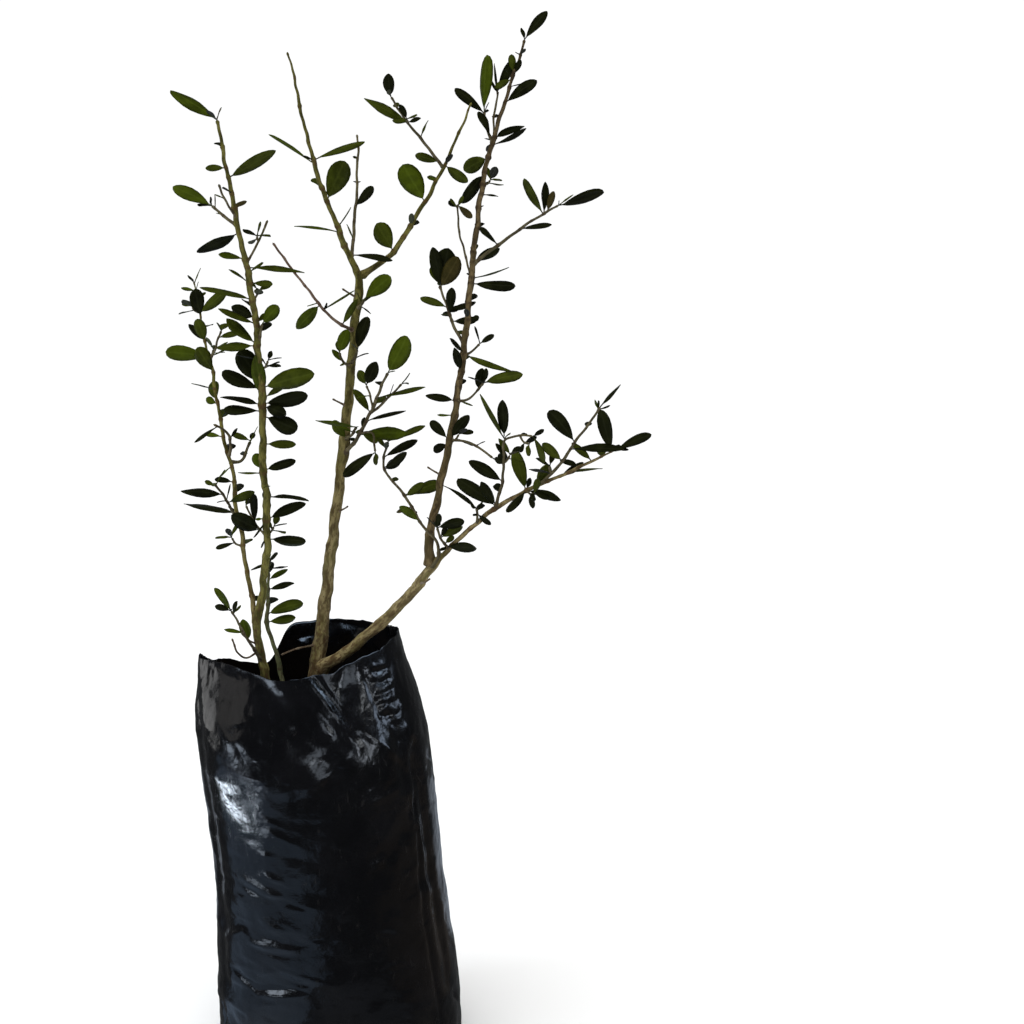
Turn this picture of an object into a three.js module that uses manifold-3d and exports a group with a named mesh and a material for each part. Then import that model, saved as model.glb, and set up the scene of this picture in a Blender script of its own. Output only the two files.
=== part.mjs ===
import * as THREE from "three";
import { mergeVertices } from "three/addons/utils/BufferGeometryUtils.js";
import Module from "manifold-3d";

// Young potted olive with several stems, in a filled film grow bag.
// Millimetres, +Z up, the origin at the middle of the bag's flat underside, -Y is the front.
const wasm = await Module();
wasm.setup();

// Bag sizes
const BAG_WALL = 1.3;
const BAG_FLOOR = 1.6;
const BAG_FOOT_HALF_WIDTH = 88.5;
const BAG_BODY_HALF_WIDTH = 82;
const BAG_RIM_HALF_WIDTH = 71.5;
const BAG_HALF_DEPTH = 74;
const BAG_RIM_HALF_DEPTH = 54;
const BAG_LEAN = -24.5;
const BAG_LEAN_HEIGHT = 300;
const BAG_LEAN_POWER = 1.6;
const BAG_FOOT_ROUNDING = 8;
const BAG_ROUNDNESS = 2.3;
const BAG_COLUMNS = 30;
// Heights between which the body narrows upwards, the mouth narrows, and the mouth flattens
const BODY_TAPER = [20, 150];
const MOUTH_TAPER = [238, 312];
const MOUTH_FLATTENING = [225, 300];
// The left end of the mouth is pressed flatter than the right end
const LEFT_END_FLATTENING = [238, 295];
const LEFT_END_DEPTH_SHARE = 0.62;
// Heights of the film's rings up to the soil, and the shares of the way from there to the rim
const BAG_STATIONS = [2.4, 7, 26, 54, 84, 114, 144, 172, 198, 220];
const RIM_STATIONS = [0.36, 0.7, 1];
const NORMAL_STEP = 1.5;
// Height of the rim at angles counted from the right hand side round by the back, in degrees
const RIM_HEIGHTS = [
  [0, 311],
  [40, 306],
  [75, 306],
  [94, 304],
  [114, 273],
  [148, 284],
  [180, 294],
  [225, 296],
  [262, 290],
  [285, 295],
  [312, 305],
  [340, 311],
];
// Creases pressed into the film: angle and height of both ends, depth and half width in mm
const CREASES = [
  [252, 288, 286, 226, 4.0, 9],
  [296, 300, 276, 214, 3.0, 8],
  [318, 262, 322, 214, 2.6, 8],
  [236, 118, 205, 104, 2.4, 9],
  [262, 76, 214, 62, 2.2, 8],
  [285, 36, 222, 30, 2.4, 8],
  [333, 236, 338, 60, 2.6, 7],
  [203, 260, 207, 70, 2.2, 8],
  [60, 280, 86, 190, 3.2, 10],
  [128, 270, 112, 200, 3.0, 10],
  [40, 120, 100, 96, 2.4, 9],
  [150, 170, 158, 40, 2.4, 8],
];

// Soil sizes
const SOIL_TOP = 240;
const SOIL_GAP = 0.3;

// Growth sizes
const LIMB_GAP = 0.3;
const GROUND_CUT = SOIL_TOP + SOIL_GAP;
const ROUTE_SAMPLES = 8;
const SCRAP_TOLERANCE = 0.1;
const LEAF_FORWARD = 0.32;
const LEAF_FORWARD_SPREAD = 0.34;
const LEAF_TURN_SPREAD = 46;
const LEAF_LEAN_FRONT = 1.5;
const LEAF_LEAN_BACK = -0.7;
const LEAF_DEPTH_SPREAD = 0.5;
const LEAF_DEPTH_LEANING = -0.45;
const LEAF_DEPTH_PER_DEGREE = 0.0115;
const LEAF_DEPTH_LIMIT = 1.15;
const LEAF_WIDTH_SHARE = 0.36;
const LEAF_WIDTH_SPREAD = 0.07;
const LEAF_WIDE_SHARE = 0.54;
const LEAF_NARROW_SHARE = 0.27;
// How far a blade is turned from facing the front, and how often its upper side is turned down
const LEAF_TILT = 50;
const LEAF_TILT_BROAD = 12;
const LEAF_TILT_NARROW = 72;
const LEAF_TILT_SPREAD = 20;
const LEAF_UPSIDE_DOWN = 0.2;
// The front view that the hours belong to looks down by 12 degrees
const VIEW_RISE = 0.21;
const LEAF_CURL = 0.14;
// Leaves shorter than this are left out of the solids
const LEAF_SHORTEST = 10;
const LEAF_THICKNESS = 0.8;
const LEAF_STALK_SHARE = 0.1;
const LEAF_BROADEST_POWER = 1.1;
const LEAF_ROUNDNESS_POWER = 0.7;
const LEAF_STALK_HALF_WIDTH = 0.55;
const LEAF_STALK_THICKNESS = 0.5;
const LEAF_RING_SHARES = [0.4, 0.74];
const LEAF_SAMPLE_SHARES = [0.2, 0.3, 0.4, 0.5, 0.6, 0.7, 0.8, 0.9, 1];
const LEAF_STEM_CLEARANCE = 1.2;
const LEAF_LEAF_CLEARANCE = 2.9;
const LEAF_REACH_SHARE = 0.6;
// Clearances to the film on its outside and inside, to the soil, and the height above it all
const FILM_CLEARANCE_OUTSIDE = 4;
const FILM_CLEARANCE_INSIDE = 6;
const SOIL_CLEARANCE = 2;
const ABOVE_THE_BAG = 318;
const TURNS_TRIED = [0, 26, -26, 52, -52, 80, -80, 110, -110, 145, 180];
const SIDES = { f: [0, -1, 0], b: [0, 1, 0] };

// Limbs: what each grows from, the height it leaves it, its bends and its end, both radii
// A limb that grows from the ground starts under the soil's surface and is cut flat there
const LIMBS = {
  trunk: {
    from: [-20, 4, 226],
    bends: [[-14, 4, 277], [-3, 6, 361], [8, 10, 444], [17, 13, 530], [21, 14, 562]],
    radii: [4.5, 2.8],
    flare: [4.6, 46],
    knots: [[443, 1.3, 6], [281, 0.7, 7], [520, 0.5, 5], [556, 0.7, 7]],
  },
  left_stem: {
    from: [-41, -3, 226],
    bends: [[-49, -8, 282], [-54, -10, 312], [-49, -14, 342], [-44, -20, 377]],
    radii: [3.3, 2.5],
    flare: [1.6, 20],
    knots: [[317, 0.5, 5]],
  },
  left_green_shoot: {
    from: [-31, 16, 226],
    bends: [[-41, 18, 276], [-51, 27, 309]],
    radii: [1.5, 1.25],
  },
  right_bough: {
    on: ["trunk", 281],
    bends: [[11, -10, 300], [48, -22, 336], [75, -32, 371]],
    radii: [4.1, 3.2],
    knots: [[322, 0.4, 5], [346, 0.5, 5]],
  },
  right_upright_stem: {
    on: ["right_bough", 364],
    bends: [[68, -28, 380], [71, -19, 396], [81, -6, 442]],
    radii: [3.1, 2.4],
    knots: [[382, 0.5, 4]],
  },
  right_spreading_bough: {
    on: ["right_bough", 371],
    bends: [[94, -44, 392], [111, -55, 409], [134, -64, 425]],
    radii: [1.7, 1.35],
    knots: [[411, 0.3, 4]],
  },
  left_side_stem: {
    on: ["left_stem", 317],
    bends: [[-58, -1, 335], [-63, 8, 359]],
    radii: [1.8, 1.6],
  },
  upper_left_limb: {
    on: ["trunk", 560],
    bends: [[14, 9, 575], [10, 6, 584]],
    radii: [1.9, 1.6],
  },
  upper_right_limb: {
    on: ["trunk", 560],
    bends: [[31, 21, 567], [43, 28, 575]],
    radii: [1.9, 1.6],
  },
};

// Masses of foliage, each a main stem and its side twigs: what the stem grows from, the height
// it leaves it, its bends and its end, both radii and the habit. A habit has one word for each leaf:
// how far up the stem it grows in hundredths, the hour of a clock face that it points to, seen from
// the front, or f or b for a leaf straight to the front or the back, and its length in mm as it is
// seen. Marks: + broad side to the front, n narrow and edge-on, w a wide blade, f leaning forward.
const MASSES = {
  left_foot_spray: [
    ["left_stem", 290, [[-60, -26, 314], [-67, -40, 336]], 0.9, 0.45,
      "45/11.5/16+w 60/b/14 95/1.4/8 100/9.7/12+ 100/11/19"],
  ],
  left_stem_lower_foliage: [
    ["left_stem", 377, [[-43, -28, 411], [-44, -36, 444]], 2.5, 2.3,
      "8/3/27 14/6.8/11n 29/7.3/15n 30/2.1/29 31/9/8 45/b/18 55/3/29n 66/f/14 81/9.1/18n "
      + "82/11.3/14+wf 84/2.4/23"],
    ["own", 383, [[-55, -8, 394], [-60, 0, 402]], 0.6, 0.35, "30/9.8/21+w 50/12/20 100/b/14"],
  ],
  left_stem_middle_foliage: [
    ["left_stem_lower_foliage", 444, [[-42, -44, 478], [-43, -54, 519]], 2.3, 2.0,
      "11/3/22 38/3.7/25+w 42/9.2/27 47/3.5/17+w 48/9.5/29n 49/2.7/31+ 54/2/20 54/11.9/27+f "
      + "62/9.8/30 64/2.4/36+ 68/10.9/27+w 80/b/20 90/f/15"],
  ],
  left_stem_upper_foliage: [
    ["left_stem_middle_foliage", 519, [[-44, -61, 547], [-48, -69, 578], [-51, -75, 599]], 2.0, 1.4,
      "3/9/26 4/10.3/27 14/b/20 21/9.8/26n 26/10/21+ 34/b/22 42/9.6/37n 56/10.2/16n 56/3/15 64/b/18 "
      + "69/3/37n 76/9.5/17 98/8.2/31"],
    ["own", 523, [[-39, -62, 537]], 0.8, 0.4, "100/1.4/16+w"],
    ["own", 576, [[-41, -60, 589], [-35, -50, 604]], 0.5, 0.3, "55/1/8n"],
  ],
  left_stem_top_foliage: [
    ["left_stem_upper_foliage", 599, [[-54, -80, 620], [-58, -89, 652], [-61, -94, 670]], 1.4, 0.6,
      "20/b/18 34/f/13 48/2/35 57/9/13+ 75/b/14 100/10.2/35"],
    ["own", 602, [[-61, -68, 608], [-70, -60, 614]], 0.8, 0.4, "50/b/15 85/12/9n 100/10/29"],
    ["own", 607, [[-57, -87, 618], [-61, -96, 630]], 0.45, 0.3, "60/10/7n"],
  ],
  left_side_lower_foliage: [
    ["left_side_stem", 359, [[-66, 15, 377], [-71, 24, 400], [-73, 32, 420]], 1.6, 1.4,
      "18/b/20 35/f/13 54/9.4/40n 75/b/20 88/9.5/14"],
    ["own", 385, [[-71, 6, 397], [-75, -6, 411], [-81, -12, 420]], 0.8, 0.4,
      "55/2.3/20+ 60/12.5/12n 74/9.3/29 95/1/13n 100/f/12"],
  ],
  left_side_middle_foliage: [
    ["left_side_lower_foliage", 420, [[-81, 42, 445], [-89, 58, 485]], 1.4, 1.1,
      "5/8/13n 20/b/20 36/9.5/13 55/b/22 70/9.8/10+w 73/11.3/17+w 86/b/18"],
    ["own", 426, [[-67, 38, 427], [-62, 44, 440]], 0.9, 0.5, "50/b/16 85/0.7/15n 100/9.8/14+"],
    ["own", 430, [[-74, 34, 438], [-76, 26, 449], [-85, 20, 456]], 0.8, 0.35, "45/1/9 90/8/21n"],
  ],
  left_side_top_foliage: [
    ["left_side_middle_foliage", 485, [[-97, 70, 515], [-104, 82, 550]], 1.1, 0.5,
      "3/11/20+w 20/9.3/30+ 36/11.5/17+w 37/10.7/18+ 50/b/18 63/11.6/20+w 67/1.8/24+ 82/b/16 "
      + "90/9.5/11 98/0.8/12n"],
    ["own", 495, [[-85, 52, 507], [-81, 46, 519]], 0.6, 0.35, "20/2.3/20n 80/2.3/15 100/b/14"],
  ],
  green_shoot_foliage: [
    ["left_green_shoot", 309, [[-51, 34, 325], [-50, 42, 351]], 1.2, 0.5,
      "3/2.7/21 16/2.2/27 30/b/20 42/9/13 56/2.5/19 72/2/16+ 80/b/18 90/3/14 98/1/9 98/8.5/14n 100/b/15"],
  ],
  trunk_knot_spur: [
    ["trunk", 447, [[15, -2, 453], [19, -9, 459]], 0.8, 0.5, "15/10.6/13+w 70/10/12 100/9.2/28 100/f/12"],
  ],
  trunk_side_spray: [
    ["trunk", 436, [[20, -8, 453], [30, -20, 474], [42, -38, 501]], 1.1, 0.5,
      "32/2.8/33 35/3.9/14+ 38/12.3/9+ 47/2.2/28n 56/10.9/20 65/b/20 72/2.6/34n 85/b/16 "
      + "100/1/27+w"],
    ["own", 470, [[40, -22, 480], [51, -28, 492]], 0.6, 0.35, "60/0.5/8n 100/1.3/9n"],
    ["own", 473, [[29, -24, 483], [27, -28, 491]], 0.5, 0.35, "55/9/9n 100/0.8/17+w 100/11/12+w"],
    ["own", 455, [[30, -18, 456], [32, -24, 444]], 0.5, 0.35, "100/8/27"],
  ],
  trunk_left_spur: [
    ["trunk", 499, [[10, 3, 502], [7, -4, 510]], 0.7, 0.4, "50/10.6/12+ 100/0.6/17+w 100/11.5/9"],
  ],
  trunk_right_spur: [
    ["trunk", 500, [[17, 2, 506], [19, -3, 512]], 0.7, 0.4, "50/b/14 100/0.4/24+"],
  ],
  trunk_fork_spur: [
    ["trunk", 538, [[22, 6, 542], [23, 1, 546]], 0.7, 0.4, "40/4/9n 70/b/12 100/1.6/24+w"],
  ],
  bare_left_twig: [
    ["trunk", 523, [[4, -14, 534], [-10, -36, 556], [-31, -60, 590]], 0.9, 0.35,
      "17/1/21 40/2/24n 45/7.6/24+ 47/8.5/8n"],
  ],
  upper_left_foliage: [
    ["upper_left_limb", 584, [[1, -4, 612], [-8, -16, 643], [-20, -44, 712]], 1.6, 0.35,
      "6/9.5/31n 9/1.2/16n 23/0.8/29+w 30/b/16 43/10.1/37n 45/2/36n"],
  ],
  upper_middle_foliage: [
    ["upper_left_limb", 573, [[16, 24, 590], [17, 52, 626], [16, 74, 655]], 0.9, 0.4,
      "3/3/28n 15/11.5/12n 42/1.5/18+ 60/b/16 80/b/12"],
  ],
  upper_right_foliage: [
    ["upper_right_limb", 575, [[63, 50, 607], [77, 64, 632], [97, 92, 677]], 1.6, 0.35,
      "1/10.9/24+w 18/b/18 35/11/32+w 48/b/18 59/4.3/20+"],
    ["own", 632, [[62, 58, 652], [52, 50, 664], [42, 42, 682]], 0.8, 0.4,
      "8/9.6/17+ 42/0.6/13 65/10/35 85/b/14 100/11.7/15+w"],
  ],
  bough_foot_cluster: [
    ["right_spreading_bough", 379, [[78, -44, 387], [75, -50, 397]], 0.8, 0.4,
      "15/3/20+ 30/1.5/8+w 60/2/17+ 100/2.5/19+ 100/10.5/10n 100/b/14"],
  ],
  back_branch_foliage: [
    ["right_bough", 362, [[75, -38, 374], [73, -36, 386], [66, -33, 392], [51, 0, 408], [35, 16, 425],
      [39, 14, 445]], 0.9, 0.45,
      "38/10.4/17+ 44/b/18 52/8.5/12 62/1.9/16+ 63/2.3/27 74/b/16 83/1.8/13+w 84/2/19 90/1.9/27 "
      + "95/11/10 100/2.1/28n"],
  ],
  upright_lower_foliage: [
    ["right_upright_stem", 442, [[86, 6, 468], [92, 24, 508]], 2.3, 2.0,
      "8/8/13+w 10/10.5/19+ 11/1.2/21+ 35/9/12n 49/9.5/22 50/3.5/12n 62/b/20 78/11.5/16+f "
      + "88/b/16 95/3.6/36n 97/10.6/12"],
    ["own", 449, [[97, -14, 449], [113, -24, 440]], 0.6, 0.35, "60/2/7n 100/4/8n"],
    ["own", 474, [[97, -2, 478], [106, -10, 490]], 0.6, 0.35, "78/0.4/15+w 100/2.4/27 100/b/12"],
    ["own", 504, [[97, 30, 506], [103, 36, 511]], 0.6, 0.35, "100/1.8/12+ 100/11.5/13n"],
  ],
  upright_middle_foliage: [
    ["upright_lower_foliage", 508, [[96, 42, 548], [99, 54, 579]], 2.0, 1.7,
      "14/b/18 28/2.5/8+w 45/b/20 63/3.1/31 68/2.6/28n 83/1.9/23+ 92/b/18"],
    ["own", 512, [[84, 42, 523], [79, 54, 536], [74, 64, 549]], 0.9, 0.45,
      "45/3/18+ 52/b/14 55/0.1/19+ 56/9/6n 58/1.8/9+w 62/2.3/20 66/9.9/21 97/1.2/24+w 98/11.8/29+ "
      + "100/0.5/30+w 100/11.5/18+w"],
    ["own", 554, [[92, 50, 575], [88, 44, 593], [87, 40, 608]], 0.5, 0.3, "96/10.3/8+w 100/4.4/14+"],
  ],
  right_side_branch: [
    ["upright_middle_foliage", 565, [[114, 48, 578], [130, 40, 590], [145, 30, 601], [157, 16, 609]],
      1.0, 0.4, "27/10.6/18 53/2.6/22n 79/10.9/27 80/0.1/22 85/0.6/14+ 100/1.7/12n 100/2.6/34"],
  ],
  upright_upper_foliage: [
    ["upright_middle_foliage", 579, [[105, 72, 623], [111, 80, 647]], 1.7, 1.3,
      "15/b/20 36/b/18 50/3/12n 60/b/20 72/7.3/27+ 88/8.2/20+w"],
  ],
  upright_top_foliage: [
    ["upright_upper_foliage", 647, [[121, 90, 679], [135, 100, 721]], 1.3, 0.5,
      "0/2.2/28n 7/2/24 40/1.7/28 55/b/16 63/8.2/14+ 66/0.9/12+ 68/11.8/15+ 85/b/12 100/1.2/26"],
    ["own", 649, [[107, 92, 659], [106, 100, 670]], 0.8, 0.4, "20/11.4/21 70/b/15 95/10.6/27 100/11.9/42"],
    ["own", 651, [[113, 98, 668], [115, 104, 685]], 0.5, 0.35, "50/b/12 95/11.2/10 97/11.6/24n 100/0.8/25"],
  ],
  spreading_foot_foliage: [
    ["right_spreading_bough", 400, [[102, -57, 408], [102, -63, 413]], 0.7, 0.35,
      "60/4.5/12+ 80/b/14 100/10.4/27n"],
  ],
  spreading_inner_foliage: [
    ["right_spreading_bough", 412, [[120, -66, 440], [120, -80, 465]], 0.8, 0.4,
      "2/10.3/34 3/10.8/19+ 20/b/16 35/10.2/26 60/b/18 97/10.9/33n 100/11.9/24+"],
    ["own", 463, [[131, -88, 467], [139, -92, 467]], 0.45, 0.3, "60/b/8 100/5/19"],
  ],
  spreading_middle_foliage: [
    ["right_spreading_bough", 425, [[157, -74, 437], [178, -84, 449]], 1.3, 1.0,
      "1/11.4/30 2/3.4/24 3/7.6/20 17/1.1/17+w 35/b/18 52/2/18 63/2.5/24n 80/b/18 100/10.7/18"],
  ],
  spreading_upper_foliage: [
    ["spreading_middle_foliage", 431, [[159, -80, 449], [169, -90, 466], [183, -100, 488]], 0.8, 0.4,
      "15/b/16 32/10.4/18+ 48/2.9/33n 57/10.9/27+ 75/b/14 96/11.3/7 100/1.3/19n"],
  ],
  spreading_tip_foliage: [
    ["spreading_middle_foliage", 449, [[186, -90, 454], [193, -96, 459]], 1.0, 0.4,
      "40/b/16 80/11.5/29+ 100/2.1/24 100/b/10"],
  ],
};

// Small vector helpers
const add = (a, b) => [a[0] + b[0], a[1] + b[1], a[2] + b[2]];
const subtract = (a, b) => [a[0] - b[0], a[1] - b[1], a[2] - b[2]];
const scale = (a, k) => [a[0] * k, a[1] * k, a[2] * k];
const dot = (a, b) => a[0] * b[0] + a[1] * b[1] + a[2] * b[2];
const cross = (a, b) => [
  a[1] * b[2] - a[2] * b[1],
  a[2] * b[0] - a[0] * b[2],
  a[0] * b[1] - a[1] * b[0],
];
const length = (a) => Math.sqrt(dot(a, a));
const unit = (a) => scale(a, 1 / length(a));
const mix = (a, b, t) => a + (b - a) * t;
const radians = (degrees) => (degrees * Math.PI) / 180;

function smoothStep(low, high, value) {
  const t = Math.min(1, Math.max(0, (value - low) / (high - low)));
  return t * t * (3 - 2 * t);
}

// A repeatable number from 0 to 1 for three whole numbers
function chance(a, b, c) {
  const s = Math.sin(a * 127.1 + b * 311.7 + c * 74.7) * 43758.5453;
  return s - Math.floor(s);
}

function spread(width, a, b, c) {
  return width * (chance(a, b, c) - 0.5);
}

function turned(v, axis, degrees) {
  const c = Math.cos(radians(degrees));
  const s = Math.sin(radians(degrees));
  return add(add(scale(v, c), scale(cross(axis, v), s)), scale(axis, dot(axis, v) * (1 - c)));
}

// The part of v that is square to the unit vector n
function across(v, n) {
  return subtract(v, scale(n, dot(v, n)));
}

// A smooth route through the given points
function smoothRoute(points) {
  const curve = new THREE.CatmullRomCurve3(
    points.map((p) => new THREE.Vector3(...p)),
    false,
    "catmullrom",
    0.5,
  );
  return curve.getPoints(ROUTE_SAMPLES * (points.length - 1)).map((p) => p.toArray());
}

function makeShoot(points, radii, extras = {}) {
  const route = smoothRoute(points);
  const lengths = [0];
  for (let i = 1; i < route.length; i += 1) {
    lengths.push(lengths[i - 1] + length(subtract(route[i], route[i - 1])));
  }
  return { route, lengths, total: lengths[lengths.length - 1], radii, ...extras };
}

function placeAt(shoot, fraction) {
  const wanted = fraction * shoot.total;
  let i = 1;
  while (i < shoot.route.length - 1 && shoot.lengths[i] < wanted) {
    i += 1;
  }
  const a = shoot.route[i - 1];
  const b = shoot.route[i];
  const t = (wanted - shoot.lengths[i - 1]) / (shoot.lengths[i] - shoot.lengths[i - 1]);
  return { point: add(a, scale(subtract(b, a), t)), along: unit(subtract(b, a)) };
}

function pointAtHeight(shoot, height) {
  for (let i = 1; i < shoot.route.length; i += 1) {
    const a = shoot.route[i - 1];
    const b = shoot.route[i];
    if (a[2] <= height && b[2] >= height) {
      return add(a, scale(subtract(b, a), (height - a[2]) / (b[2] - a[2])));
    }
  }
  return shoot.route[shoot.route.length - 1];
}

function radiusAt(shoot, fraction, height) {
  let radius = mix(shoot.radii[0], shoot.radii[1], fraction);
  if (shoot.flare) {
    radius += shoot.flare[0] * Math.exp((-fraction * shoot.total) / shoot.flare[1]);
  }
  for (const [knotHeight, amount, reach] of shoot.knots || []) {
    radius += amount * Math.exp(-(((height - knotHeight) / reach) ** 2));
  }
  return radius;
}

function growLimbs() {
  const limbs = {};
  for (const [name, plan] of Object.entries(LIMBS)) {
    const start = plan.from || pointAtHeight(limbs[plan.on[0]], plan.on[1]);
    limbs[name] = makeShoot([start, ...plan.bends], plan.radii, { flare: plan.flare, knots: plan.knots });
  }
  return limbs;
}

function growTwigs(limbs) {
  const masses = {};
  for (const [name, rows] of Object.entries(MASSES)) {
    masses[name] = [];
    for (const [parent, height, bends, r0, r1, habit] of rows) {
      const from = parent === "own" ? masses[name][0] : limbs[parent] || masses[parent][0];
      const start = pointAtHeight(from, height);
      masses[name].push(makeShoot([start, ...bends], [r0, r1], { habit }));
    }
  }
  return masses;
}

// The leaves a habit names
function readHabit(habit) {
  return habit.split(" ").map((word) => {
    const [place, direction, rest] = word.split("/");
    const size = parseFloat(rest);
    return { place: Number(place) / 100, direction, size, marks: rest.slice(String(size).length) };
  });
}

// The way a leaf points, as long as the leaf that is seen from the front at its given size
function leafReach(place, wish, seed, turn) {
  if (SIDES[wish.direction]) {
    const swing = spread(LEAF_TURN_SPREAD, ...seed, 2) + turn;
    const forward = LEAF_FORWARD + spread(LEAF_FORWARD_SPREAD, ...seed, 1);
    return unit(add(turned(SIDES[wish.direction], [0, 0, 1], swing), scale(place.along, forward)));
  }
  const angle = radians(30 * Number(wish.direction));
  let depth = spread(LEAF_DEPTH_SPREAD, ...seed, 1) + turn * LEAF_DEPTH_PER_DEGREE;
  if (wish.marks.includes("f")) {
    depth += LEAF_DEPTH_LEANING;
  }
  depth = Math.max(-LEAF_DEPTH_LIMIT, Math.min(LEAF_DEPTH_LIMIT, depth));
  return [Math.sin(angle), depth, Math.cos(angle) - VIEW_RISE * depth];
}

// The upper side of a leaf that points along way
function leafUpperSide(way, wish, seed) {
  if (SIDES[wish.direction]) {
    const lean = mix(LEAF_LEAN_BACK, LEAF_LEAN_FRONT, chance(...seed, 3));
    return unit(across(unit([0, -lean, 1]), way));
  }
  let tilt = LEAF_TILT;
  if (wish.marks.includes("+")) {
    tilt = LEAF_TILT_BROAD;
  }
  if (wish.marks.includes("n")) {
    tilt = LEAF_TILT_NARROW;
  }
  tilt += spread(LEAF_TILT_SPREAD, ...seed, 3);
  const facing = unit(across([0, -1, 0], way));
  const upper = turned(facing, way, tilt);
  const other = turned(facing, way, -tilt);
  const turnedDown = chance(...seed, 7) < LEAF_UPSIDE_DOWN;
  return upper[2] > other[2] !== turnedDown ? upper : other;
}

// Where one leaf lies: its root, the way it points, its upper side and its size
function layLeaf(place, wish, seed, turn) {
  const reach = leafReach(place, wish, seed, turn);
  const way = unit(reach);
  const size = wish.size * length(reach);
  let share = LEAF_WIDTH_SHARE;
  if (wish.marks.includes("w")) {
    share = LEAF_WIDE_SHARE;
  }
  if (wish.marks.includes("n")) {
    share = LEAF_NARROW_SHARE;
  }
  const width = wish.size * (share + spread(LEAF_WIDTH_SPREAD, ...seed, 5));
  const curl = LEAF_CURL * chance(...seed, 6);
  return { root: place.point, way, upper: leafUpperSide(way, wish, seed), size, width, curl };
}

function leafPoint(leaf, share, sideways) {
  const right = cross(leaf.way, leaf.upper);
  const drop = leaf.curl * leaf.size * share * share;
  const middle = add(leaf.root, scale(leaf.way, share * leaf.size));
  return add(add(middle, scale(leaf.upper, -drop)), scale(right, sideways));
}

// Half the blade's width: nothing along the stalk, then broadest a little past the middle
function leafHalfWidth(leaf, share) {
  const alongBlade = Math.max(0, (share - LEAF_STALK_SHARE) / (1 - LEAF_STALK_SHARE));
  const outline = Math.sin(Math.PI * Math.pow(alongBlade, LEAF_BROADEST_POWER));
  return 0.5 * leaf.width * Math.pow(Math.max(0, outline), LEAF_ROUNDNESS_POWER);
}

function leafSamples(leaf) {
  const samples = [];
  for (const share of LEAF_SAMPLE_SHARES) {
    const half = leafHalfWidth(leaf, share);
    for (const k of [-1, -0.5, 0, 0.5, 1]) {
      samples.push(leafPoint(leaf, share, k * half));
    }
  }
  return samples;
}

function distanceToShoot(p, shoot) {
  let least = Infinity;
  for (let i = 1; i < shoot.route.length; i += 1) {
    const a = shoot.route[i - 1];
    const b = shoot.route[i];
    const ab = subtract(b, a);
    const t = Math.min(1, Math.max(0, dot(subtract(p, a), ab) / dot(ab, ab)));
    const f = mix(shoot.lengths[i - 1], shoot.lengths[i], t) / shoot.total;
    const gap = length(subtract(p, add(a, scale(ab, t)))) - radiusAt(shoot, f, p[2]);
    least = Math.min(least, gap);
  }
  return least;
}

function shootBall(shoot) {
  const centre = scale(add(shoot.route[0], shoot.route[shoot.route.length - 1]), 0.5);
  const reach = Math.max(...shoot.route.map((p) => length(subtract(p, centre))));
  return { centre, reach: reach + shoot.radii[0] + 8 };
}

// Bag shape
function bagMiddle(z) {
  return BAG_LEAN * Math.pow(Math.max(0, z) / BAG_LEAN_HEIGHT, BAG_LEAN_POWER);
}

function rimHeight(angle) {
  const turn = ((angle % 360) + 360) % 360;
  const last = RIM_HEIGHTS.length;
  for (let i = 0; i < last; i += 1) {
    const [a, low] = RIM_HEIGHTS[i];
    const [b, high] = i + 1 < last ? RIM_HEIGHTS[i + 1] : [360, RIM_HEIGHTS[0][1]];
    if (turn >= a && turn <= b) {
      return mix(low, high, smoothStep(a, b, turn));
    }
  }
  return RIM_HEIGHTS[0][1];
}

function creaseDepth(angle, z) {
  let depth = 0;
  const around = BAG_BODY_HALF_WIDTH * radians(1);
  for (const [a0, z0, a1, z1, amount, reach] of CREASES) {
    const px = (angle - a0) * around;
    const pz = z - z0;
    const dx = (a1 - a0) * around;
    const dz = z1 - z0;
    const t = Math.min(1, Math.max(0, (px * dx + pz * dz) / (dx * dx + dz * dz)));
    const away = Math.hypot(px - dx * t, pz - dz * t);
    const fade = Math.sin(Math.PI * mix(0.18, 0.82, t));
    depth += amount * fade * Math.exp(-((away / reach) ** 2));
  }
  return depth;
}

function bagPlain(angle, z) {
  const c = Math.cos(radians(angle));
  const s = Math.sin(radians(angle));
  const body = mix(BAG_FOOT_HALF_WIDTH, BAG_BODY_HALF_WIDTH, smoothStep(...BODY_TAPER, z));
  const wide = mix(body, BAG_RIM_HALF_WIDTH, smoothStep(...MOUTH_TAPER, z));
  const leftEnd = smoothStep(0.1, -1, c) * smoothStep(...LEFT_END_FLATTENING, z);
  const rimDeep = BAG_RIM_HALF_DEPTH * mix(1, LEFT_END_DEPTH_SHARE, leftEnd);
  const deep = mix(BAG_HALF_DEPTH, rimDeep, smoothStep(...MOUTH_FLATTENING, z));
  const power = 2 / BAG_ROUNDNESS;
  const pinch = BAG_FOOT_ROUNDING * Math.pow(Math.max(0, 1 - z / BAG_FOOT_ROUNDING), 2);
  const reach = creaseDepth(angle, z) + pinch;
  const x = Math.sign(c) * Math.pow(Math.abs(c), power);
  const y = Math.sign(s) * Math.pow(Math.abs(s), power);
  return [bagMiddle(z) + x * (wide - reach), y * (deep - reach), z];
}

function bagPoint(angle, z, inset) {
  const step = NORMAL_STEP;
  const around = subtract(bagPlain(angle + step, z), bagPlain(angle - step, z));
  const rising = subtract(bagPlain(angle, z + step), bagPlain(angle, Math.max(0, z - step)));
  const outward = unit(cross(around, rising));
  const flat = unit([outward[0], outward[1], 0]);
  const plain = bagPlain(angle, z);
  return [plain[0] - flat[0] * inset, plain[1] - flat[1] * inset, z];
}

function bagHeights(angle, foot) {
  const rim = rimHeight(angle);
  return [foot, ...BAG_STATIONS, SOIL_TOP, ...RIM_STATIONS.map((t) => mix(SOIL_TOP, rim, t))];
}

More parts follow.
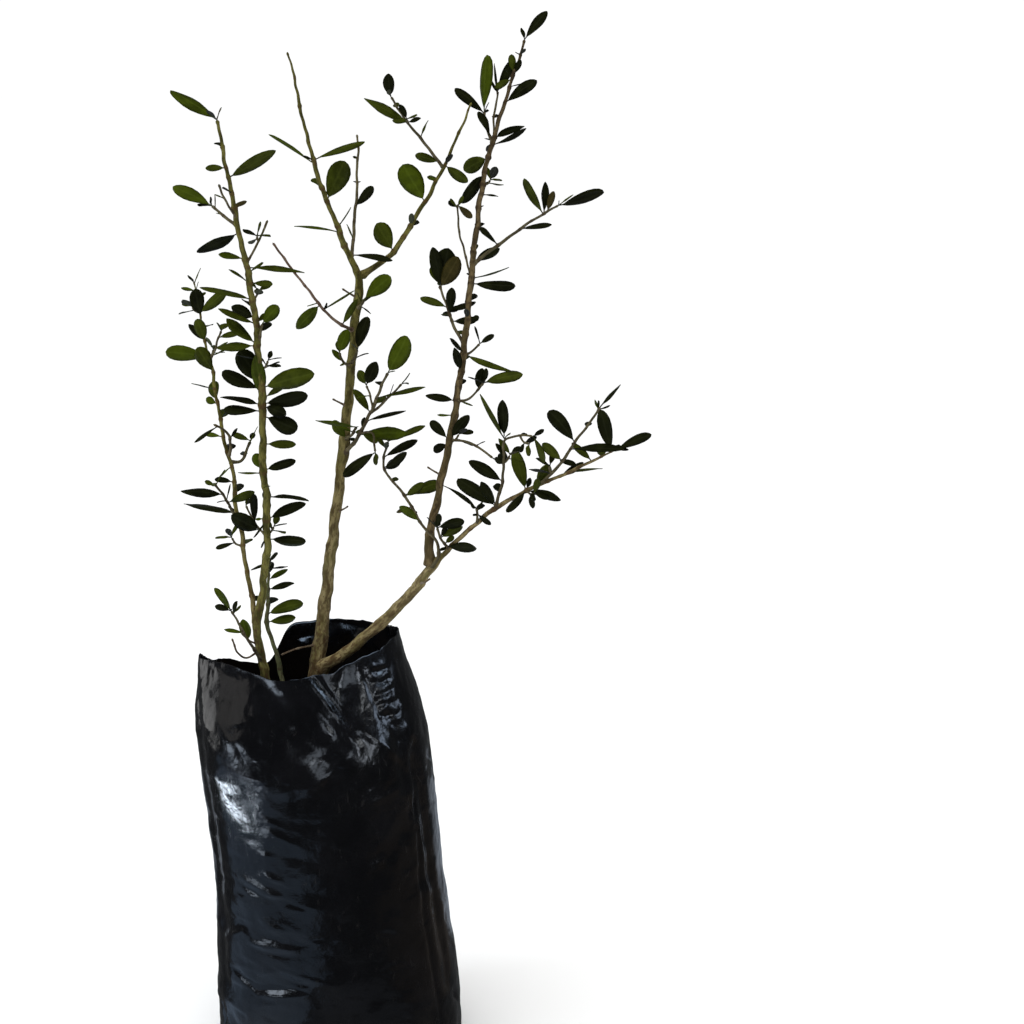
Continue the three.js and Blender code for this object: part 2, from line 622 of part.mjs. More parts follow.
// A closed skin over rings of points, with a middle point in each end
function ringsToGeometry(rings, capFirst, capLast, mirrored = false) {
  const positions = rings.flat(2);
  const count = rings[0].length;
  const faces = [];
  for (let i = 0; i + 1 < rings.length; i += 1) {
    for (let k = 0; k < count; k += 1) {
      const a = i * count + k;
      const b = i * count + ((k + 1) % count);
      if (mirrored) {
        faces.push(a, b, a + count, b, b + count, a + count);
      } else {
        faces.push(a, b, b + count, a, b + count, a + count);
      }
    }
  }
  const firstMiddle = positions.length / 3;
  const lastMiddle = firstMiddle + 1;
  const lastRing = (rings.length - 1) * count;
  positions.push(...capFirst, ...capLast);
  for (let k = 0; k < count; k += 1) {
    const next = (k + 1) % count;
    faces.push(firstMiddle, next, k);
    faces.push(lastMiddle, lastRing + k, lastRing + next);
  }
  const geometry = new THREE.BufferGeometry();
  geometry.setAttribute("position", new THREE.Float32BufferAttribute(positions, 3));
  geometry.setIndex(faces);
  return geometry;
}

function toSolid(geometry) {
  return new wasm.Manifold(
    new wasm.Mesh({
      numProp: 3,
      vertProperties: new Float32Array(geometry.attributes.position.array),
      triVerts: new Uint32Array(geometry.index.array),
    }),
  );
}

function bagRing(station, inset, foot) {
  const ring = [];
  for (let k = 0; k < BAG_COLUMNS; k += 1) {
    const angle = (360 * k) / BAG_COLUMNS;
    ring.push(bagPoint(angle, bagHeights(angle, foot)[station], inset));
  }
  return ring;
}

function makeBag() {
  const stations = bagHeights(0, 0).length;
  const rings = [];
  for (let i = 0; i < stations; i += 1) {
    rings.push(bagRing(i, 0, 0));
  }
  for (let i = stations - 1; i >= 0; i -= 1) {
    rings.push(bagRing(i, BAG_WALL, BAG_FLOOR));
  }
  return toSolid(ringsToGeometry(rings, [0, 0, 0], [0, 0, BAG_FLOOR]));
}

function makeSoil() {
  const stations = bagHeights(0, 0).length - RIM_STATIONS.length;
  const rings = [];
  for (let i = 0; i < stations; i += 1) {
    rings.push(bagRing(i, BAG_WALL + SOIL_GAP, BAG_FLOOR + SOIL_GAP));
  }
  const top = [bagMiddle(SOIL_TOP), 0, SOIL_TOP];
  return toSolid(ringsToGeometry(rings, [0, 0, BAG_FLOOR + SOIL_GAP], top, true));
}

// A leaf keeps clear of the bag's film and of the soil
function clearOfBag(p) {
  if (p[2] > ABOVE_THE_BAG) {
    return true;
  }
  const x = p[0] - bagMiddle(p[2]);
  const angle = (Math.atan2(p[1], x) * 180) / Math.PI;
  const film = bagPlain(angle, p[2]);
  const away = Math.hypot(x, p[1]) - Math.hypot(film[0] - bagMiddle(p[2]), film[1]);
  const aboveSoil = p[2] > GROUND_CUT + SOIL_CLEARANCE;
  return away > FILM_CLEARANCE_OUTSIDE || (away < -FILM_CLEARANCE_INSIDE && aboveSoil);
}

// Leaves are laid shoot by shoot; one that comes too near a limb or another mass is turned round
// its stem, and left out where no turn clears it
function growLeaves(limbs, masses) {
  const leaves = {};
  const laid = [];
  const stems = [];
  for (const [name, limb] of Object.entries(limbs)) {
    stems.push({ owner: name, shoot: limb, ball: shootBall(limb) });
  }
  for (const [name, shoots] of Object.entries(masses)) {
    shoots.forEach((shoot) => stems.push({ owner: name, shoot, ball: shootBall(shoot) }));
  }
  let shootSeed = 0;
  for (const [name, shoots] of Object.entries(masses)) {
    leaves[name] = [];
    for (const shoot of shoots) {
      shootSeed += 1;
      readHabit(shoot.habit).forEach((wish, i) => {
        if (wish.size < LEAF_SHORTEST) {
          return;
        }
        const place = placeAt(shoot, wish.place);
        for (const turn of TURNS_TRIED) {
          const leaf = layLeaf(place, wish, [shootSeed, i + 1], turn);
          if (leafIsClear(leaf, name, stems, laid)) {
            laid.push({ owner: name, samples: leafSamples(leaf), leaf });
            leaves[name].push(leaf);
            break;
          }
        }
      });
    }
  }
  return leaves;
}

function leafIsClear(leaf, name, stems, laid) {
  const samples = leafSamples(leaf);
  const centre = leafPoint(leaf, 0.5, 0);
  const reach = LEAF_REACH_SHARE * leaf.size;
  if (!samples.every(clearOfBag)) {
    return false;
  }
  for (const stem of stems) {
    if (stem.owner === name) {
      continue;
    }
    if (length(subtract(stem.ball.centre, centre)) > stem.ball.reach + reach) {
      continue;
    }
    if (samples.some((p) => distanceToShoot(p, stem.shoot) < LEAF_STEM_CLEARANCE)) {
      return false;
    }
  }
  for (const other of laid) {
    const least = other.owner === name ? LEAF_LEAF_CLEARANCE * 0.5 : LEAF_LEAF_CLEARANCE;
    const apart = length(subtract(leafPoint(other.leaf, 0.5, 0), centre));
    if (apart > reach + LEAF_REACH_SHARE * other.leaf.size + least) {
      continue;
    }
    const near = samples.some((p) => other.samples.some((q) => length(subtract(p, q)) < least));
    if (near) {
      return false;
    }
  }
  return true;
}

// Sides of a stem and the spacing of its rings, by its radius at the foot
const STEM_STYLES = [
  { above: 2.7, sides: 9, pitch: 11 },
  { above: 1.25, sides: 6, pitch: 15 },
  { above: 0.65, sides: 5, pitch: 18 },
  { above: 0, sides: 4, pitch: 18 },
];

function makeStem(shoot, spare = 0) {
  const stout = STEM_STYLES.find((style) => shoot.radii[0] > style.above);
  const { sides, pitch } = stout;
  const count = Math.max(2, Math.round(shoot.total / pitch));
  const rings = [];
  let normal = null;
  for (let i = 0; i <= count; i += 1) {
    const place = placeAt(shoot, i / count);
    normal = unit(across(normal || [0.3, -1, 0.1], place.along));
    const other = cross(place.along, normal);
    let middle = place.point;
    if (i === count) {
      middle = add(middle, scale(place.along, spare));
    }
    const radius = radiusAt(shoot, i / count, place.point[2]) + spare;
    const ring = [];
    for (let k = 0; k < sides; k += 1) {
      const angle = (2 * Math.PI * k) / sides;
      const out = add(scale(normal, Math.cos(angle)), scale(other, Math.sin(angle)));
      ring.push(add(middle, scale(out, radius)));
    }
    rings.push(ring);
  }
  const first = placeAt(shoot, 0).point;
  const last = add(placeAt(shoot, 1).point, scale(placeAt(shoot, 1).along, spare));
  return toSolid(ringsToGeometry(rings, first, last));
}

function makeLeaf(leaf) {
  const stations = [[0, LEAF_STALK_HALF_WIDTH, LEAF_STALK_THICKNESS]];
  for (const share of LEAF_RING_SHARES) {
    stations.push([share, leafHalfWidth(leaf, share), LEAF_THICKNESS]);
  }
  const rings = stations.map(([share, half, thick]) => [
    leafPoint(leaf, share, -half),
    leafPoint(leaf, share, half),
    add(leafPoint(leaf, share, 0), scale(leaf.upper, -thick)),
  ]);
  return toSolid(ringsToGeometry(rings, leafPoint(leaf, 0, 0), leafPoint(leaf, 1, 0)));
}

// The largest piece, so that no loose scrap and no sealed hollow is left
function largestPiece(solid) {
  const pieces = solid.simplify(SCRAP_TOLERANCE).decompose();
  pieces.sort((a, b) => b.volume() - a.volume());
  return pieces[0];
}

// A block that fills everything below the height z
function blockBelow(z) {
  const depth = 100;
  const block = new THREE.BoxGeometry(600, 600, depth);
  block.translate(0, 0, z - depth / 2);
  block.deleteAttribute("normal");
  block.deleteAttribute("uv");
  return toSolid(mergeVertices(block));
}

function toMesh(name, solid, material) {
  const made = solid.getMesh();
  const geometry = new THREE.BufferGeometry();
  const positions = new Float32Array(made.vertProperties);
  geometry.setAttribute("position", new THREE.BufferAttribute(positions, 3));
  geometry.setIndex(new THREE.BufferAttribute(new Uint32Array(made.triVerts), 1));
  geometry.computeVertexNormals();
  const mesh = new THREE.Mesh(geometry, material);
  mesh.name = name;
  return mesh;
}

const MATERIALS = {
  film: new THREE.MeshStandardMaterial({ color: 0x14161c, roughness: 0.28, metalness: 0 }),
  soil: new THREE.MeshStandardMaterial({ color: 0x2e241b, roughness: 0.95, metalness: 0 }),
  bark: new THREE.MeshStandardMaterial({ color: 0x8a7a55, roughness: 0.85, metalness: 0 }),
  leaf: new THREE.MeshStandardMaterial({ color: 0x3d4d1e, roughness: 0.5, metalness: 0 }),
};

function buildPlant() {
  const group = new THREE.Group();
  const limbs = growLimbs();
  const masses = growTwigs(limbs);
  const leaves = growLeaves(limbs, masses);
  const stems = [
    ...Object.entries(limbs).map(([name, limb]) => ({ name, shoots: [limb] })),
    ...Object.entries(masses).map(([name, shoots]) => ({ name, shoots })),
  ];
  // Every stem with the gap round it, which no other node's solid may enter
  for (const stem of stems) {
    stem.space = wasm.Manifold.union(stem.shoots.map((shoot) => makeStem(shoot, LIMB_GAP)));
  }
  const ground = blockBelow(GROUND_CUT);
  const without = (solid, others) => others.reduce((rest, other) => rest.subtract(other.space), solid);
  group.add(toMesh("grow_bag", makeBag(), MATERIALS.film));
  group.add(toMesh("soil", makeSoil(), MATERIALS.soil));
  stems.forEach(({ name, shoots }, i) => {
    const wood = wasm.Manifold.union(shoots.map((shoot) => makeStem(shoot)));
    let whole = without(wood.subtract(ground), stems.slice(0, i));
    if (leaves[name]) {
      const blades = wasm.Manifold.union(leaves[name].map(makeLeaf));
      const others = stems.filter((stem) => stem.name !== name);
      whole = whole.add(without(blades, others));
    }
    group.add(toMesh(name, largestPiece(whole), leaves[name] ? MATERIALS.leaf : MATERIALS.bark));
  });
  return group;
}

const group = buildPlant();
group.name = "potted_olive";

export default group;
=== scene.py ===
import math

import bpy
import numpy as np
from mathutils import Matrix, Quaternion, Vector


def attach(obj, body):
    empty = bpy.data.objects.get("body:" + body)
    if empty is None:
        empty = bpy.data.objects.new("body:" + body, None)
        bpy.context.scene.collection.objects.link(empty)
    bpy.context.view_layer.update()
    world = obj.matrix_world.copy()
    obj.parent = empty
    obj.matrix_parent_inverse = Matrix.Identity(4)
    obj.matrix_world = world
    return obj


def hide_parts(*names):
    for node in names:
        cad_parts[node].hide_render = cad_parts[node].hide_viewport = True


# Looks of a young potted olive with several stems in a soft black grow bag.
# Lengths are millimetres until a mesh is made. Z is up and -Y is the front.
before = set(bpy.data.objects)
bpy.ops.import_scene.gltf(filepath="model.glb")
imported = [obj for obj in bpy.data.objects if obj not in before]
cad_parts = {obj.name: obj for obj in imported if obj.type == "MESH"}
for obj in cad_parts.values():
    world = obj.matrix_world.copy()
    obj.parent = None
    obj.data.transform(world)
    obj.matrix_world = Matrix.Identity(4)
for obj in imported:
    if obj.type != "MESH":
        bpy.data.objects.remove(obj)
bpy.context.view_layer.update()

MM = 0.001
UP = np.array([0.0, 0.0, 1.0])
FRONT = np.array([0.0, -1.0, 0.0])
# A way that no stem runs, to measure turns round a stem from
SKEW = np.array([0.3, -1.0, 0.1])

# Camera
AIM = (0.12555, 0.0, 0.39715)
CAMERA_DISTANCE = 1.5
CAMERA_ELEVATION = 12
CAMERA_LENS = 75.334
CAMERA_SENSOR = 36

# Bag sizes
BAG_FOOT_HALF_WIDTH = 88.5
BAG_BODY_HALF_WIDTH = 82
BAG_RIM_HALF_WIDTH = 71.5
BAG_HALF_DEPTH = 74
BAG_RIM_HALF_DEPTH = 54
BAG_LEAN = -24.5
BAG_LEAN_HEIGHT = 300
BAG_LEAN_POWER = 1.6
BAG_FOOT_ROUNDING = 8
BAG_ROUNDNESS = 2.3
BODY_TAPER = (20, 150)
MOUTH_TAPER = (238, 312)
MOUTH_FLATTENING = (225, 300)
LEFT_END_SIDE = (0.1, -1)
LEFT_END_FLATTENING = (238, 295)
LEFT_END_DEPTH_SHARE = 0.62
RIM_HEIGHTS = [
    (0, 311), (40, 306), (75, 306), (94, 304), (114, 273), (148, 284),
    (180, 294), (225, 296), (262, 290), (285, 295), (312, 305), (340, 311),
]
# Creases of the source: angle and height of both ends, depth and half width
CREASES = [
    (252, 288, 286, 226, 4.0, 9),
    (296, 300, 276, 214, 3.0, 8),
    (318, 262, 322, 214, 2.6, 8),
    (236, 118, 205, 104, 2.4, 9),
    (262, 76, 214, 62, 2.2, 8),
    (285, 36, 222, 30, 2.4, 8),
    (333, 236, 338, 60, 2.6, 7),
    (203, 260, 207, 70, 2.2, 8),
    (60, 280, 86, 190, 3.2, 10),
    (128, 270, 112, 200, 3.0, 10),
    (40, 120, 100, 96, 2.4, 9),
    (150, 170, 158, 40, 2.4, 8),
]
# Creases and folds fade out towards both ends: the part of half a sine wave that is used
CREASE_FADE = (0.18, 0.82)
FOLD_FADE = (0.14, 0.86)
# Sharp folds of the film: both ends, how far they stand out (or in, below zero), half width
FOLDS = [
    (270, 300, 284, 270, 2.4, 4.0),
    (284, 270, 293, 246, 2.8, 4.0),
    (271, 299, 285, 269, 1.1, 1.5),
    (285, 269, 296, 246, 1.3, 1.5),
    (277, 272, 287, 250, -0.8, 1.5),
    (277, 296, 294, 260, -3.4, 6.0),
    (281, 294, 296, 258, 1.6, 3.0),
    (296, 258, 306, 248, 1.8, 3.5),
    (306, 248, 322, 231, 2.2, 4.0),
    (306, 300, 310, 270, -1.3, 4.0),
    (310, 270, 313, 257, -1.2, 3.5),
    (286, 246, 276, 232, 0.8, 1.5),
    (281, 243, 272, 226, -0.7, 1.6),
    (276, 238, 267, 220, 0.7, 1.6),
    (289, 240, 269, 217, 2.4, 4.5),
    (286, 244, 276, 240, 1.8, 3.5),
    (276, 240, 268, 224, -1.8, 3.5),
    (269, 217, 264, 206, -1.4, 4.0),
    (236, 258, 248, 264, 0.8, 2.2),
    (242, 252, 256, 247, -0.9, 2.2),
    (246, 238, 258, 240, 0.9, 2.2),
    (238, 248, 243, 236, -0.8, 2.2),
    (78, 301, 102, 286, 1.8, 4.0),
    (100, 294, 84, 278, -1.6, 3.5),
    (64, 298, 76, 282, 1.6, 4.0),
    (84, 305, 54, 300, 2.4, 5.0),
    (72, 296, 58, 288, -1.6, 4.0),
    (229, 150, 251, 141, 1.3, 3.0),
    (227, 145, 249, 136, -1.0, 3.0),
    (232, 102, 262, 101, 1.4, 3.0),
    (236, 97, 258, 96, -0.9, 2.5),
    (252, 84, 273, 75, 1.3, 3.0),
    (250, 79, 270, 71, -0.9, 2.5),
    (217, 78, 234, 68, -2.2, 3.0),
    (234, 68, 260, 71, -2.0, 2.5),
    (220, 74, 236, 63, 1.4, 3.5),
    (236, 63, 262, 67, 1.6, 3.0),
    (299, 207, 314, 213, 1.2, 3.0),
    (291, 159, 300, 164, 0.9, 2.5),
    (330, 232, 331, 214, -1.8, 3.0),
    (331, 214, 327, 188, -2.0, 2.6),
    (327, 188, 324, 110, -1.8, 2.6),
    (324, 110, 327, 32, -1.6, 2.6),
    (327, 188, 331, 120, 1.2, 4.0),
    (345, 48, 353, 36, -2.6, 3.5),
    (203, 44, 207, 30, -2.4, 4.0),
    (70, 292, 96, 236, 2.6, 4.5),
    (96, 236, 84, 204, 2.0, 4.0),
    (52, 286, 60, 230, -2.4, 4.5),
    (140, 276, 122, 226, 2.4, 4.5),
    (156, 262, 150, 214, -2.0, 4.0),
    (30, 268, 44, 222, 1.8, 4.0),
    (146, 190, 143, 30, -1.8, 3.0),
    (36, 200, 40, 34, -1.8, 3.0),
]
RIDGE_ROUNDING = 0.4
RIDGE_SLOPE = 1.25
# Where the film is drawn smooth over the soil: angle, height, how far that reaches, how calm it is
SMOOTH_SPOT = (232, 204, 15, 20)
SMOOTH_SPOT_CALM = 0.8
# The pale crinkled patch beside the bough: cross wrinkles over a short stretch of film. Both rows
# say where it begins, where it is full, where it starts to fade and where it ends.
PATCH_ANGLES = (309, 312, 325, 328)
PATCH_HEIGHTS = (255, 260, 295, 301)
PATCH_WAVE = 7.5
PATCH_SWAY = 1.6
PATCH_SWAY_STEPS = (6, 9)
PATCH_DEPTH = 0.9
# Small wrinkles of the full film, of its low left side and of the slack mouth: where they lie,
# their tilt in degrees, the share that stands upright, half length with the power that favours
# short ones, depth, the share that stands out, and half width
WRINKLES = [
    {"count": 150, "seed": 81, "angles": (0, 360), "heights": (8, 236), "tilt": 0, "tilt_spread": 56,
     "upright": 0.12, "reach": (4, 15), "short": 1.5, "depth": (0.25, 0.75), "raised": 0.6,
     "width": (1.4, 3.0)},
    {"count": 70, "seed": 83, "angles": (196, 268), "heights": (12, 196), "tilt": -8, "tilt_spread": 44,
     "upright": 0, "reach": (5, 15), "short": 1, "depth": (0.3, 0.8), "raised": 0.6,
     "width": (1.5, 3.2)},
    {"count": 90, "seed": 82, "angles": (0, 360), "heights": (240, 300), "tilt": 90, "tilt_spread": 180,
     "upright": 0, "reach": (3, 12), "short": 1.3, "depth": (0.2, 0.6), "raised": 0.55,
     "width": (1.6, 3.6)},
]
# How far past both ends of the turn the wrinkles are drawn again, so that they cross it whole
WRINKLE_OVERLAP = 30
SLACK_HEIGHTS = (225, 262)
# Unevenness of the whole film: steps in degrees and mm, depth where it is full and slack, seed
UNEVENNESS = [
    ((9, 13), (0.7, 0.6), 3),
    ((3, 4.5), (0.16, 0.20), 5),
]
CALM_FOOT = 9
# Waves of the cut edge: step in degrees, height, seed
EDGE_WAVES = [
    (7.2, 0.7, 11),
    (2.4, 0.3, 12),
]
BAG_HEIGHT = 300
# Degrees to both sides over which the film's own direction is measured
OUTWARD_STEP = 1.5
FILM_COLUMNS = 320
FILM_ROWS = 230
FILM_RIM_ROWS = 44
FILM_RIM_STEP = 0.35
FILM_THICKNESS = 0.45
# The inner side under the soil: out of sight, so it lies deeper, in a few rings
FILM_HIDDEN_THICKNESS = 2.4
FILM_HIDDEN_HEIGHTS = [231, 190, 140, 90, 45, 14, 2.2]
FILM_SEEN_BELOW_SOIL = 4
SOIL_TOP = 240
SOIL_EDGE_GAP = 1.2
SOIL_COLUMNS = 96
SOIL_RINGS = 26
SOIL_INNERMOST = 0.03
SOIL_RELIEF = 2.2
# Lumps of the soil: step in mm, share of the relief, seed
SOIL_LUMPS = [
    (21, 0.6, 21),
    (6.5, 0.3, 22),
    (2.4, 0.14, 23),
]
SOIL_SIDE_HEIGHTS = [3.0, 14, 45, 90, 140, 190, 230]
SOIL_SIDE_INSET = 1.4
SOIL_MOUND_HEIGHT = 2.2
SOIL_MOUND_REACH = 13
SOIL_EDGE_RISE = 2.0
SOIL_EDGE_POWER = 8
# Crumbs keep this many rings away from the film
CRUMB_FREE_RINGS = 2
CRUMB_STRETCHES = ((0.4, 0.4, 0.4), (1.5, 1.1, 0.9))
CRUMB_LUMPS_SCALE = 900
CRUMBS = {"Per square metre": 62000.0, "Radius": 0.00105, "Flatness": 0.8, "Lumps": 0.0005, "Seed": 3}

# Growth sizes
LIMB_GAP = 0.3
GROUND_CUT = SOIL_TOP + LIMB_GAP
ROUTE_SAMPLES = 8
REACH_MARGIN = 8
DEGREES_PER_HOUR = 30
LEAF_FORWARD = 0.32
LEAF_FORWARD_SPREAD = 0.34
LEAF_TURN_SPREAD = 46
LEAF_LEAN_FRONT = 1.5
LEAF_LEAN_BACK = -0.7
LEAF_DEPTH_SPREAD = 0.5
LEAF_DEPTH_LEANING = -0.45
LEAF_DEPTH_PER_DEGREE = 0.0115
LEAF_DEPTH_LIMIT = 1.15
LEAF_WIDTH_SHARE = 0.36
LEAF_WIDTH_SPREAD = 0.07
LEAF_WIDE_SHARE = 0.54
LEAF_NARROW_SHARE = 0.27
LEAF_TILT = 50
LEAF_TILT_BROAD = 12
LEAF_TILT_NARROW = 72
LEAF_TILT_SPREAD = 20
LEAF_UPSIDE_DOWN = 0.2
VIEW_RISE = 0.21
LEAF_CURL = 0.14
LEAF_SHORTEST = 10
LEAF_STALK_SHARE = 0.1
LEAF_BROADEST_POWER = 1.1
LEAF_ROUNDNESS_POWER = 0.7
LEAF_SAMPLE_SHARES = [0.2, 0.3, 0.4, 0.5, 0.6, 0.7, 0.8, 0.9, 1]
LEAF_STEM_CLEARANCE = 1.2
LEAF_LEAF_CLEARANCE = 2.9
LEAF_REACH_SHARE = 0.6
FILM_CLEARANCE_OUTSIDE = 4
FILM_CLEARANCE_INSIDE = 6
SOIL_CLEARANCE = 2
ABOVE_THE_BAG = 318
TURNS_TRIED = [0, 26, -26, 52, -52, 80, -80, 110, -110, 145, 180]
SIDES = {"f": (0, -1, 0), "b": (0, 1, 0)}

# Limbs: what each grows from, the height it leaves it, its bends and its end, both radii
LIMBS = {
    "trunk": {
        "from": (-20, 4, 226),
        "bends": [(-14, 4, 277), (-3, 6, 361), (8, 10, 444), (17, 13, 530), (21, 14, 562)],
        "radii": (4.5, 2.8), "flare": (4.6, 46),
        "knots": [(443, 1.3, 6), (281, 0.7, 7), (520, 0.5, 5), (556, 0.7, 7)],
    },
    "left_stem": {
        "from": (-41, -3, 226), "bends": [(-49, -8, 282), (-54, -10, 312), (-49, -14, 342), (-44, -20, 377)],
        "radii": (3.3, 2.5), "flare": (1.6, 20), "knots": [(317, 0.5, 5)],
    },
    "left_green_shoot": {
        "from": (-31, 16, 226), "bends": [(-41, 18, 276), (-51, 27, 309)], "radii": (1.5, 1.25),
    },
    "right_bough": {
        "on": ("trunk", 281), "bends": [(11, -10, 300), (48, -22, 336), (75, -32, 371)], "radii": (4.1, 3.2),
        "knots": [(322, 0.4, 5), (346, 0.5, 5)],
    },
    "right_upright_stem": {
        "on": ("right_bough", 364), "bends": [(68, -28, 380), (71, -19, 396), (81, -6, 442)],
        "radii": (3.1, 2.4), "knots": [(382, 0.5, 4)],
    },
    "right_spreading_bough": {
        "on": ("right_bough", 371), "bends": [(94, -44, 392), (111, -55, 409), (134, -64, 425)],
        "radii": (1.7, 1.35), "knots": [(411, 0.3, 4)],
    },
    "left_side_stem": {
        "on": ("left_stem", 317), "bends": [(-58, -1, 335), (-63, 8, 359)], "radii": (1.8, 1.6),
    },
    "upper_left_limb": {
        "on": ("trunk", 560), "bends": [(14, 9, 575), (10, 6, 584)], "radii": (1.9, 1.6),
    },
    "upper_right_limb": {
        "on": ("trunk", 560), "bends": [(31, 21, 567), (43, 28, 575)], "radii": (1.9, 1.6),
    },
}

